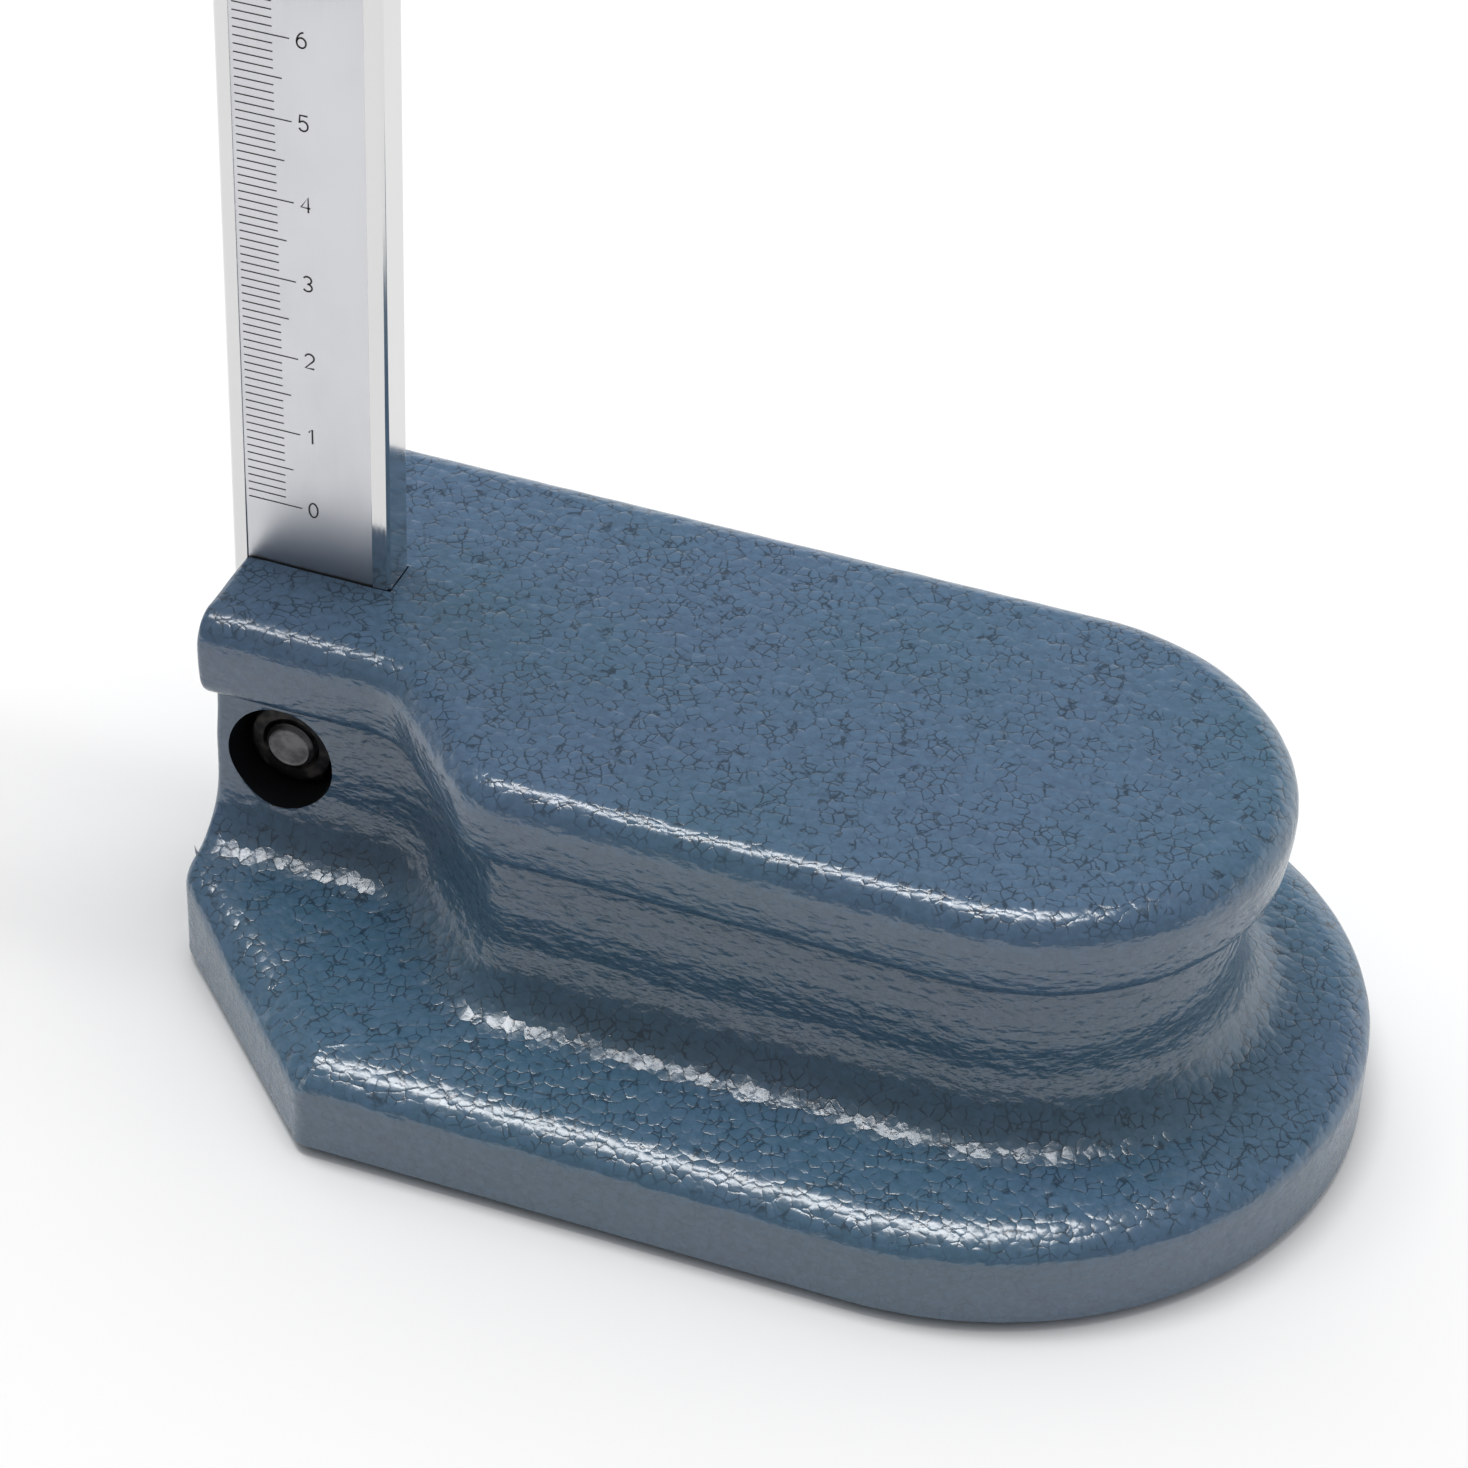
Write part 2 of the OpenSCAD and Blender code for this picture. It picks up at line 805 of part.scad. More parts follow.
// Closed loop round jaw and scriber, with a threaded head on top
module scriber_shackle() {
    corner_r = 4;
    outer = shackle_in + shackle_wall;
    height = shackle_top + shackle_head - shackle_z;
    color(steel)
        translate([shackle_x + shackle_t / 2, beam_mid, 0])
            rotate([90, 0, -90])
                difference() {
                    linear_extrude(height = shackle_t)
                        difference() {
                            union() {
                                translate([-outer, shackle_z])
                                    square([2 * outer, height - corner_r]);
                                translate([-outer + corner_r, shackle_z])
                                    square([2 * (outer - corner_r), height]);
                                for (side = [-1, 1])
                                    translate([side * (outer - corner_r), shackle_z + height - corner_r])
                                        circle(r = corner_r);
                            }
                            translate([-shackle_in, shackle_z + shackle_wall])
                                square([2 * shackle_in, shackle_top - shackle_z - shackle_wall]);
                        }
                    translate([0, shackle_top - eps, shackle_t / 2])
                        rotate([-90, 0, 0])
                            cylinder(d = thumb_hole_d, h = shackle_head + 2 * eps);
                }
}

module shackle_screw() {
    point_z = jaw_z + jaw_h + seat_gap;
    color(steel)
        translate([shackle_x, beam_mid, point_z])
            thumb_screw(shackle_top + shackle_head + 2 * seat_gap - point_z);
}

// Seen from above, the scriber narrows to its edge over the nose
module scriber_plan() {
    polygon([
        [scriber_x, beam_mid - scriber_w / 2],
        [scriber_x, beam_mid + scriber_w / 2],
        [tip_x + nose_len, beam_mid + scriber_w / 2],
        [tip_x, beam_mid + edge_w / 2],
        [tip_x, beam_mid - edge_w / 2],
        [tip_x + nose_len, beam_mid - scriber_w / 2]
    ]);
}

// Seen from the front: shank, dropped nose and the long slope down to the edge
module scriber_side() {
    edge_h = 0.5;
    polygon([
        [scriber_x, shank_z],
        [scriber_x, shank_z + shank_h - seat_gap],
        [tip_x + nose_len, shank_z + shank_h - seat_gap],
        [tip_x, measure_z + edge_h],
        [tip_x, measure_z],
        [tip_x + nose_len - nose_drop, measure_z],
        [tip_x + nose_len, shank_z]
    ]);
}

// The whole scriber, before the tip is let into it
module scriber_blank() {
    intersection() {
        translate([0, 0, measure_z - eps])
            linear_extrude(height = nose_drop + shank_h + 2 * eps)
                scriber_plan();
        translate([0, beam_mid + scriber_w, 0])
            rotate([90, 0, 0])
                linear_extrude(height = 2 * scriber_w)
                    scriber_side();
    }
}

// Block that parts the carbide tip from the scriber's steel
module tip_block(grow) {
    translate([tip_x - eps, beam_mid - scriber_w, measure_z - eps])
        cube([tip_len + eps + grow, 2 * scriber_w, tip_h + eps + grow]);
}

module scriber() {
    braze = 0.02;
    color(steel)
        difference() {
            scriber_blank();
            tip_block(braze);
        }
}

module scriber_tip() {
    color(carbide)
        intersection() {
            scriber_blank();
            tip_block(0);
        }
}

base_casting();
beam();
clamp_bolt();
clamp_washer();
clamp_nut();
beam_stop_screw();
slider_frame();
slider_gib();
gib_set_screws();
slider_lock_screw();
vernier_plate();
vernier_screws();
feed_carriage();
carriage_gib();
carriage_lock_screw();
feed_spindle();
spindle_set_screw();
feed_nut();
scriber_shackle();
shackle_screw();
scriber();
scriber_tip();
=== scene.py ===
"""Surface gauge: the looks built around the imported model.

An enamelled cast base carries an upright graduated beam. A slider with a vernier, a fine feed and a
clamped scriber rides on the beam. Sizes in the classes are millimetres in the model's frame: the sole
lies on z = 0, the beam stands on x = 0 and its front face is y = 0. Meshes are written in metres.
"""
import functools
import json
import logging
import math
from collections.abc import Callable, Sequence
from dataclasses import dataclass
from enum import Enum

import bmesh
import bpy
import numpy as np
from mathutils import Matrix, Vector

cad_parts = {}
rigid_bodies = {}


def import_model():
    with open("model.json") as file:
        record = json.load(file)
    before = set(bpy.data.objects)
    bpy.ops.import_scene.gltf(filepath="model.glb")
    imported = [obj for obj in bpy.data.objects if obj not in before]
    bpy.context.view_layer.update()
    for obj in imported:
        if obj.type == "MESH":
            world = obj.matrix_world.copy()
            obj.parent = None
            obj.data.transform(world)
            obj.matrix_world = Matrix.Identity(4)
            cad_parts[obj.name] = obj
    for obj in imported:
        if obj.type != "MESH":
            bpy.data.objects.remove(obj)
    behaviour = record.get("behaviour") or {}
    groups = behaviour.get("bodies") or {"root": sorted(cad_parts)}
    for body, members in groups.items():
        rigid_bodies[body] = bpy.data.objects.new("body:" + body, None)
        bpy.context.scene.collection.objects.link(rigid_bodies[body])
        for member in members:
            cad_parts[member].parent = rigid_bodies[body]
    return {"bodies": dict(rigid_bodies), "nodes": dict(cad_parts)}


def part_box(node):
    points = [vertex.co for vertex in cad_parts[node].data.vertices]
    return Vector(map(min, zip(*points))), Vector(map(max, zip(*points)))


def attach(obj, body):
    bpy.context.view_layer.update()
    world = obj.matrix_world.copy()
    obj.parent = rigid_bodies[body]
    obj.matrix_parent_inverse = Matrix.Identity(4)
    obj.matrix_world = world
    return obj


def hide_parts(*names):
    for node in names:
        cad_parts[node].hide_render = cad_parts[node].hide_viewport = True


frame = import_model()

MM = 0.001
Array = np.ndarray
Triple = tuple[float, float, float]
Colour = Triple
log = logging.getLogger("surface_gauge")


class Axis(Enum):
    """The direction that a piece was turned about, or that its grain runs along."""

    X = 0
    Y = 1
    Z = 2


# ---- meshes ----


def grid_faces(rows: int, cols: int, wrap_rows: bool = False, wrap_cols: bool = False) -> Array:
    """Quads of a grid of points, numbered row by row.

    Args:
        rows: number of rows of points.
        cols: number of points in a row.
        wrap_rows: whether the last row joins the first.
        wrap_cols: whether the last point of a row joins the first.
    Returns:
        One row of four point numbers for each face.
    """
    r = np.arange(rows if wrap_rows else rows - 1)[:, None]
    c = np.arange(cols if wrap_cols else cols - 1)[None, :]
    below, right = (r + 1) % rows * cols, (c + 1) % cols
    corners = np.broadcast_arrays(r * cols + c, r * cols + right, below + right, below + c)
    return np.stack(corners, -1).reshape(-1, 4)


def merge_mesh(
    mesh: bpy.types.Mesh, distance: float, flat_angle: float = 0.0, recalculate: bool = True
) -> None:
    """Merges doubles, joins coplanar faces where flat_angle is set, and turns the faces outwards.

    Args:
        mesh: the mesh to change.
        distance: how near two points must be to become one, in mm.
        flat_angle: faces that meet under this angle become one, in degrees; 0 leaves them.
        recalculate: whether the normals are worked out again.
    """
    bm = bmesh.new()
    bm.from_mesh(mesh)
    bmesh.ops.remove_doubles(bm, verts=bm.verts, dist=distance * MM)
    if flat_angle:
        bmesh.ops.dissolve_limit(bm, angle_limit=math.radians(flat_angle), verts=bm.verts, edges=bm.edges)
    if recalculate:
        bmesh.ops.recalc_face_normals(bm, faces=bm.faces)
    bm.to_mesh(mesh)
    bm.free()


def shade(mesh: bpy.types.Mesh, sharp_angle: float) -> None:
    """Shades a mesh smooth, with edges above sharp_angle degrees left sharp."""
    mesh.polygons.foreach_set("use_smooth", np.ones(len(mesh.polygons), bool))
    mesh.set_sharp_from_angle(angle=math.radians(sharp_angle))


def link_piece(name: str, mesh: bpy.types.Mesh, *finishes: "Finish") -> bpy.types.Object:
    """Puts a mesh into the scene as an object at the origin, with a material slot for each finish.

    Args:
        name: the new object's name.
        mesh: its mesh.
        finishes: one finish for each material slot.
    Returns:
        The object.
    """
    mesh.materials.clear()
    for finish in finishes:
        mesh.materials.append(material_of(finish))
    piece = bpy.data.objects.new(name, mesh)
    bpy.context.scene.collection.objects.link(piece)
    return piece


def mesh_of(name: str, points: Array, faces: Sequence[Sequence[int]] | Array) -> bpy.types.Mesh:
    """A new mesh.

    Args:
        name: the mesh's name.
        points: the points in mm, in an array whose last axis is x, y and z.
        faces: the point numbers of each face.
    Returns:
        The mesh, in metres.
    """
    mesh = bpy.data.meshes.new(name)
    mesh.from_pydata((np.asarray(points, float).reshape(-1, 3) * MM).tolist(), [], np.asarray(faces).tolist())
    return mesh


def settle(piece: bpy.types.Object, body: str, slot: str, *nodes: str) -> bpy.types.Object:
    """Lets a piece ride on a body and stand for CAD nodes, and reports it.

    Args:
        piece: the finished piece.
        body: the CAD body it moves with.
        slot: the record's material slot; not used.
        nodes: the CAD nodes it stands for.
    Returns:
        The same piece.
    """
    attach(piece, body)
    if nodes:
        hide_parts(*nodes)
    log.info("%s on %s, %d faces", piece.name, body, len(piece.data.polygons))
    return piece


def node_box(node: str) -> tuple[Array, Array, Triple]:
    """Lowest corner, highest corner and middle of a CAD node, in mm."""
    low, high = (np.array(corner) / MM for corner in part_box(node))
    return low, high, tuple((low + high) / 2)


def polyline(corners: Sequence[tuple[float, float]], step: float) -> Array:
    """A polyline through corners, each straight cut into equal parts no longer than step.

    Args:
        corners: the polyline's corners.
        step: the longest distance between two points.
    Returns:
        One row for each point.
    """
    ends = np.asarray(corners, float)
    parts = [
        np.linspace(a, b, max(1, math.ceil(float(np.linalg.norm(b - a)) / step)), endpoint=False)
        for a, b in zip(ends[:-1], ends[1:])
    ]
    return np.vstack([*parts, ends[-1:]])


RadiusRule = Callable[[Array, Array, Array], Array]


def turned(
    name: str,
    profile: Array,
    axis: Axis,
    centre: tuple[float, float, float],
    segments: int,
    rule: RadiusRule | None = None,
    closed: bool = False,
) -> bpy.types.Mesh:
    """A profile carried round an axis: the point at angle t and place a lies at radius rule(t, a, r).

    Args:
        name: the mesh's name.
        profile: rows of place along the axis and radius, in mm.
        axis: the axis of the turning.
        centre: a point on the axis; its value along the axis isn't used.
        segments: number of steps round the axis.
        rule: changes the radius by angle and place, for ribs, threads and hexagons.
        closed: whether the profile is a closed loop, as for a ring.
    Returns:
        The closed mesh.
    """
    angle = np.linspace(0, 2 * np.pi, segments, endpoint=False)[None, :]
    place, radius = profile[:, :1], profile[:, 1:]
    radius = rule(angle, place, radius) if rule else radius + 0 * angle
    across, up = radius * np.cos(angle), radius * np.sin(angle)
    place = place + 0 * angle
    cx, cy, cz = centre
    layout = {
        Axis.X: (place, cy + across, cz + up),
        Axis.Y: (cx + across, place, cz + up),
        Axis.Z: (cx + across, cy + up, place),
    }
    points = np.stack(layout[axis], -1)
    mesh = mesh_of(name, points, grid_faces(len(profile), segments, closed, True))
    merge_mesh(mesh, 0.0005)
    return mesh


def hexagon(across_flats: float, angle: Array) -> Array:
    """Radius of a hexagon at each angle: half its width over the cosine of the angle from a flat."""
    sixth = np.pi / 3
    return across_flats / 2 / np.cos((angle + sixth / 2) % sixth - sixth / 2)


def threaded(pitch: float, depth: float, start: float, end: float) -> RadiusRule:
    """A right-hand thread, cut by depth times how near the middle of its valley a place lies.

    Args:
        pitch: distance between two turns in mm.
        depth: the valley's depth in mm.
        start: where the thread begins along the axis.
        end: where it ends; it fades over one pitch at both.
    Returns:
        The rule that takes the thread out of the radius.
    """

    def rule(angle: Array, place: Array, radius: Array) -> Array:
        """The valley's place moves on by a pitch with each turn, and its flanks are straight.

        Args:
            angle: angles round the axis, in a row.
            place: places along the axis, in a column.
            radius: the profile's radii, in a column.
        Returns:
            The radius at each place and angle.
        """
        phase = (place / pitch - angle / (2 * np.pi)) % 1
        valley = 1 - np.abs(2 * phase - 1)
        fade = np.clip((place - start) / pitch, 0, 1) * np.clip((end - place) / pitch, 0, 1)
        return radius - depth * fade * np.clip(valley * 1.25 - 0.12, 0, 1)

    return rule


def ribbed(ribs: int, depth: float, outer: float, chamfer: float) -> RadiusRule:
    """Grip ribs round a rim: each groove is depth times the 1.5th power of a cosine's upper half.

    Args:
        ribs: number of ribs.
        depth: the grooves' depth in mm.
        outer: the rim's radius.
        chamfer: how far below the rim's radius the grooves have faded out.
    Returns:
        The rule that takes the grooves out of the radius.
    """

    def rule(angle: Array, place: Array, radius: Array) -> Array:
        """The same grooves at every place whose radius is near the rim's."""
        groove = np.clip(np.cos(angle * ribs), 0, 1) ** 1.5
        return radius - depth * groove * np.clip((radius - outer + chamfer) / 0.5, 0, 1)

    return rule


def from_cad(name: str, node: str, bevel: float, *finishes: "Finish") -> bpy.types.Object:
    """A copy of a CAD node whose edges get a small bevel, because no real edge is perfectly sharp.

    Args:
        name: the new piece's name.
        node: the CAD node to copy.
        bevel: width of the bevel in mm.
        finishes: one finish for each material slot.
    Returns:
        The piece, with a live Bevel modifier.
    """
    mesh = frame["nodes"][node].data.copy()
    mesh.name = name
    merge_mesh(mesh, 0.001, flat_angle=0.3, recalculate=False)
    if "custom_normal" in mesh.attributes:
        mesh.attributes.remove(mesh.attributes["custom_normal"])
    mesh.polygons.foreach_set("material_index", np.zeros(len(mesh.polygons), np.int32))
    shade(mesh, 30)
    piece = link_piece(name, mesh, *finishes)
    edge = piece.modifiers.new("soft_edges", "BEVEL")
    edge.width = bevel * MM
    edge.segments = 2
    edge.limit_method = "ANGLE"
    edge.angle_limit = math.radians(30)
    edge.harden_normals = True
    return piece


def cut(piece: bpy.types.Object, *cutters: bpy.types.Mesh) -> None:
    """Takes closed cutters out of a piece, one after the other, and applies the result to its mesh.

    Args:
        piece: the piece, which gets the result as its mesh.
        cutters: closed meshes in the piece's own place.
    """
    for number, cutter in enumerate(cutters):
        tool = bpy.data.objects.new(f"cutter_{number}", cutter)
        bpy.context.scene.collection.objects.link(tool)
        step = piece.modifiers.new(f"cut_{number}", "BOOLEAN")
        step.operation = "DIFFERENCE"
        step.solver = "MANIFOLD"
        step.object = tool
    bpy.context.view_layer.update()
    depsgraph = bpy.context.evaluated_depsgraph_get()
    finished = bpy.data.meshes.new_from_object(piece.evaluated_get(depsgraph))
    finished.name = piece.data.name
    for step in list(piece.modifiers):
        bpy.data.objects.remove(step.object)
        piece.modifiers.remove(step)
    piece.data = finished


def box_mesh(name: str, low: Sequence[float], high: Sequence[float]) -> bpy.types.Mesh:
    """A closed box.

    Args:
        name: the mesh's name.
        low: its lowest corner in mm.
        high: its highest corner in mm.
    Returns:
        The mesh.
    """
    pick = np.array(np.meshgrid([0, 1], [0, 1], [0, 1], indexing="ij")).reshape(3, -1).T
    points = np.where(pick == 0, low, high)
    faces = [(0, 1, 3, 2), (4, 6, 7, 5), (0, 4, 5, 1), (2, 3, 7, 6), (0, 2, 6, 4), (1, 5, 7, 3)]
    mesh = mesh_of(name, points, faces)
    merge_mesh(mesh, 0.0001)
    return mesh


def waves(points: Array, length: float, seed: int, count: int = 28) -> Array:
    """Smooth noise between -1 and 1: the scaled and clipped sum of sine waves of random heading and phase.

    Args:
        points: places in mm.
        length: the waves' mean length in mm.
        seed: the random draw.
        count: number of waves.
    Returns:
        One value for each point.
    """
    draw = np.random.default_rng(seed)
    heading = draw.normal(size=(count, 3))
    heading /= np.linalg.norm(heading, axis=1, keepdims=True)
    heading *= 2 * np.pi / length * draw.uniform(0.7, 1.4, (count, 1))
    phase = draw.uniform(0, 2 * np.pi, count)
    return np.clip(np.sin(points @ heading.T + phase).sum(1) / math.sqrt(count) * 0.8, -1, 1)


# ---- finishes ----


Socket = bpy.types.NodeSocket
Inputs = dict[str | int, object]
MIX_A, MIX_B, MIX_RESULT = 6, 7, 2  # the Mix node's sockets for colours


class Nodes:
    """Short names for making and joining the nodes of one tree."""

    def __init__(self, tree: bpy.types.NodeTree) -> None:
        """Keeps the tree."""
        self.tree = tree

    def add(self, kind: str, inputs: Inputs | None = None, **settings: object) -> bpy.types.Node:
        """Adds a node, sets its properties, and sets or links its inputs.

        Args:
            kind: the node's type.
            inputs: a value or another node's output for each input, by name or number.
            settings: the node's own properties.
        Returns:
            The node.
        """
        node = self.tree.nodes.new(kind)
        for key, value in settings.items():
            setattr(node, key, value)
        for key, value in (inputs or {}).items():
            self.put(node, key, value)
        return node

    def put(self, node: bpy.types.Node, key: str | int, value: object) -> None:
        """Links an output to a node's input, or sets the input's value.

        Args:
            node: the node.
            key: the input's name or number.
            value: another node's output, or a plain value.
        """
        if isinstance(value, Socket):
            self.tree.links.new(value, node.inputs[key])
        else:
            node.inputs[key].default_value = value

    def span(
        self, value: object, low: float, high: float, to_low: float = 0.0, to_high: float = 1.0
    ) -> Socket:
        """Carries a value from one range smoothly to another."""
        inputs = {"Value": value, "From Min": low, "From Max": high, "To Min": to_low, "To Max": to_high}
        return self.add("ShaderNodeMapRange", inputs, interpolation_type="SMOOTHSTEP").outputs["Result"]

    def line(self, value: object, to_low: float, to_high: float) -> Socket:
        """Carries a value between 0 and 1 in a straight line to another range."""
        inputs = {"Value": value, "To Min": to_low, "To Max": to_high}
        return self.add("ShaderNodeMapRange", inputs).outputs["Result"]

    def calc(self, operation: str, *values: object) -> Socket:
        """One sum of two or three values."""
        return self.add("ShaderNodeMath", dict(enumerate(values)), operation=operation).outputs[0]


class Graph(Nodes):
    """The nodes of one material, with its shader and the place on the piece at hand."""

    def __init__(self, name: str) -> None:
        """Makes the material and finds its shader.

        Args:
            name: the material's name.
        """
        self.material = bpy.data.materials.new(name)
        self.material.use_nodes = True
        super().__init__(self.material.node_tree)
        self.shader = next(n for n in self.tree.nodes if n.type == "BSDF_PRINCIPLED")
        self.place = self.add("ShaderNodeTexCoord").outputs["Object"]

    def noise(self, scale: float, detail: float = 2.0, stretch: Triple = (1, 1, 1)) -> Socket:
        """Noise whose grains are about 1 / scale metres, squeezed by stretch along each axis.

        Args:
            scale: grains in a metre.
            detail: number of finer layers.
            stretch: how much finer the grains are along each axis.
        Returns:
            The noise's value.
        """
        spot = self.add("ShaderNodeMapping", {"Vector": self.place, "Scale": stretch}).outputs[0]
        inputs = {"Vector": spot, "Scale": scale, "Detail": detail}
        return self.add("ShaderNodeTexNoise", inputs).outputs["Fac"]

    def cells(self, spot: Socket, size: float, feature: str) -> Socket:
        """The distance that irregular cells of about size mm give at a spot, by the feature asked for."""
        inputs = {"Vector": spot, "Scale": 1 / (size * MM), "Randomness": 1.0}
        return self.add("ShaderNodeTexVoronoi", inputs, feature=feature).outputs["Distance"]

    def blend(self, share: object, first: object, second: object) -> Socket:
        """Mixes two colours.

        Args:
            share: how much of the second colour shows, from 0 to 1.
            first: a colour or another node's output.
            second: a colour or another node's output.
        Returns:
            The mixed colour.
        """
        node = self.add("ShaderNodeMix", {"Factor": share}, data_type="RGBA")
        for key, colour in ((MIX_A, first), (MIX_B, second)):
            self.put(node, key, (*colour, 1) if isinstance(colour, tuple) else colour)
        return node.outputs[MIX_RESULT]

    def bump(self, height: object, depth: float, under: Socket | None = None) -> Socket:
        """Turns a height into a normal.

        Args:
            height: the height, where 1 stands for depth.
            depth: the depth of the relief in mm.
            under: the normal that the relief lies on, if any.
        Returns:
            The normal.
        """
        inputs = {"Height": height, "Distance": depth * MM, "Strength": 1.0}
        if under is not None:
            inputs["Normal"] = under
        return self.add("ShaderNodeBump", inputs).outputs["Normal"]


@dataclass(frozen=True)
class Finish:
    """A surface finish that can make its own material."""

    name: str
    colour: Colour

    def dress(self, graph: Graph) -> None:
        """Adds the finish's nodes to a new material."""
        raise NotImplementedError


@functools.cache
def material_of(finish: Finish) -> bpy.types.Material:
    """The one material of a finish.

    Args:
        finish: the finish.
    Returns:
        Its material, made at the first call.
    """
    graph = Graph(finish.name)
    finish.dress(graph)
    return graph.material


@dataclass(frozen=True)
class HammeredEnamel(Finish):
    """Blue-grey enamel that dried in flat irregular cells parted by thin cracks, whose shade is painted dark
    into the colour.
    """

    # painted shade: the near-black colour that the cracks are darkened towards, in place of the shade inside
    # their grooves
    groove: Colour = (0.014, 0.030, 0.052)
    teal: Colour = (0.062, 0.140, 0.214)
    cell: float = 1.35
    crack_depth: float = 0.008
    pillow_depth: float = 0.09
    swell_depth: float = 0.10
    ripple_depth: float = 0.30
    gloss: float = 0.21
    index: float = 1.85
    warps: tuple[tuple[float, float], ...] = ((330.0, 0.8), (1100.0, 0.6))
    crack_width: float = 0.11
    # painted shade: how far the cracks are darkened towards the groove colour
    crack_tone: float = 0.8
    wall_share: float = 0.25
    speckle: float = 0.22
    speckle_gain: float = 1.8

    def warped(self, graph: Graph) -> Socket:
        """The place on the piece, shifted by coarse and by fine noise, so that cells get uneven edges.

        Args:
            graph: the material's nodes.
        Returns:
            The shifted place.
        """
        spot = graph.place
        for scale, far in self.warps:
            warp = graph.add("ShaderNodeTexNoise", {"Vector": graph.place, "Scale": scale, "Detail": 2.0})
            shift = {0: warp.outputs["Color"], 1: (0.5, 0.5, 0.5)}
            shift = graph.add("ShaderNodeVectorMath", shift, operation="SUBTRACT").outputs[0]
            grow = {0: shift, "Scale": far * MM}
            grow = graph.add("ShaderNodeVectorMath", grow, operation="SCALE").outputs[0]
            spot = graph.add("ShaderNodeVectorMath", {0: spot, 1: grow}, operation="ADD").outputs[0]
        return spot

    def dress(self, graph: Graph) -> None:
        """Warped cells give mounds parted by cracks, slow noise the swelling, and walls get level ripples.

        A mound falls with the square of the distance from its cell's middle. On walls, by the attribute
        "wall", cells and cracks keep only wall_share of their depth, and the ripples come in.

        Args:
            graph: the material's nodes.
        """
        spot = self.warped(graph)
        edge = graph.cells(spot, self.cell, "DISTANCE_TO_EDGE")
        middle = graph.cells(spot, self.cell, "F1")
        wall = graph.add("ShaderNodeAttribute", attribute_name="wall").outputs["Fac"]
        flat = graph.span(wall, 0.0, 1.0, 1.0, self.wall_share)
        shown = graph.calc("MULTIPLY", graph.span(graph.noise(520.0, 3.0), 0.42, 0.56, 0.1, 1.0), flat)
        crack = graph.calc("MULTIPLY", graph.span(edge, 0.0, self.crack_width, 1.0, 0.0), shown)
        bowl = graph.calc("POWER", middle, 2.0)
        pillow = graph.calc("MULTIPLY", graph.calc("MULTIPLY", bowl, -1.0), flat)
        ripple = graph.calc("MULTIPLY", graph.noise(460.0, 3.0, (1.0, 1.0, 2.0)), wall)
        relief = graph.bump(graph.noise(420.0, 2.0), self.swell_depth)
        relief = graph.bump(ripple, self.ripple_depth, relief)
        relief = graph.bump(pillow, self.pillow_depth, relief)
        relief = graph.bump(graph.calc("MULTIPLY", crack, -1.0), self.crack_depth, relief)
        cloud = graph.span(graph.noise(30.0, 3.0), 0.3, 0.7)
        coat = graph.blend(cloud, self.colour, self.teal)
        tops = graph.calc("MULTIPLY", graph.span(graph.noise(900.0, 3.0), 0.35, 0.7), self.speckle)
        speckled = graph.blend(tops, coat, tuple(self.speckle_gain * c for c in self.colour))
        # painted shade: the cracks are darkened towards the near-black groove colour, standing in for the
        # shade inside them
        dark = graph.blend(graph.calc("MULTIPLY", crack, self.crack_tone), speckled, self.groove)
        polish = graph.span(graph.noise(600.0), 0.2, 0.8, self.gloss - 0.03, self.gloss + 0.04)
        graph.put(graph.shader, "Base Color", dark)
        graph.put(graph.shader, "Roughness", polish)
        graph.put(graph.shader, "Normal", relief)
        graph.put(graph.shader, "IOR", self.index)


@dataclass(frozen=True)
class GroundSteel(Finish):
    """Metal with fine scratches along its grain and slow clouds in its gloss."""

    roughness: float = 0.2
    grain: Axis = Axis.Z
    scratch: float = 0.0006
    stain: float = 0.12
    grain_scale: float = 5200.0
    grain_stretch: float = 0.03
    cloud_scale: float = 70.0
    stain_tone: float = 0.72

    def dress(self, graph: Graph) -> None:
        """Noise drawn out along the grain gives scratches; slower noise varies gloss and tone.

        Args:
            graph: the material's nodes.
        """
        stretch = [1.0, 1.0, 1.0]
        stretch[self.grain.value] = self.grain_stretch
        lines = graph.noise(self.grain_scale, 3.0, tuple(stretch))
        clouds = graph.noise(self.cloud_scale, 3.0)
        rub = graph.span(clouds, 0.25, 0.75, self.roughness * 0.85, self.roughness * 1.2)
        tone = graph.calc("MULTIPLY", graph.span(clouds, 0.35, 0.8), self.stain)
        stained = tuple(self.stain_tone * c for c in self.colour)
        graph.put(graph.shader, "Base Color", graph.blend(tone, self.colour, stained))
        graph.put(graph.shader, "Metallic", 1.0)
        graph.put(graph.shader, "Roughness", graph.calc("ADD", rub, graph.span(lines, 0.3, 0.7, 0.0, 0.05)))
        graph.put(graph.shader, "Normal", graph.bump(lines, self.scratch))


@dataclass(frozen=True)
class BlackenedSteel(Finish):
    """Oil-blackened steel with worn, mottled patches."""

    bare: Colour = (0.16, 0.15, 0.15)
    roughness: float = 0.34

    def dress(self, graph: Graph) -> None:
        """Blotches of bare metal show through the black.

        Args:
            graph: the material's nodes.
        """
        worn = graph.span(graph.noise(520.0, 4.0), 0.42, 0.68)
        graph.put(graph.shader, "Base Color", graph.blend(worn, self.colour, self.bare))
        graph.put(graph.shader, "Metallic", 0.9)
        dull = graph.span(worn, 0.0, 1.0, self.roughness, self.roughness + 0.15)
        graph.put(graph.shader, "Roughness", dull)
        graph.put(graph.shader, "Normal", graph.bump(graph.noise(1500.0, 3.0), 0.02))


@dataclass(frozen=True)
class Paint(Finish):
    """A dull fill, such as the black in engraved lines, or the near-black painted shade inside an unpainted
    hole.
    """

    roughness: float = 0.6
    mottle: float = 0.25

    def dress(self, graph: Graph) -> None:
        """Fine noise varies the tone.

        Args:
            graph: the material's nodes.
        """
        share = graph.calc("MULTIPLY", graph.noise(2500.0, 2.0), self.mottle)
        lighter = tuple(1.8 * c + 0.01 for c in self.colour)
        graph.put(graph.shader, "Base Color", graph.blend(share, self.colour, lighter))
        graph.put(graph.shader, "Roughness", self.roughness)
        graph.put(graph.shader, "Normal", graph.bump(graph.noise(1800.0), 0.01))


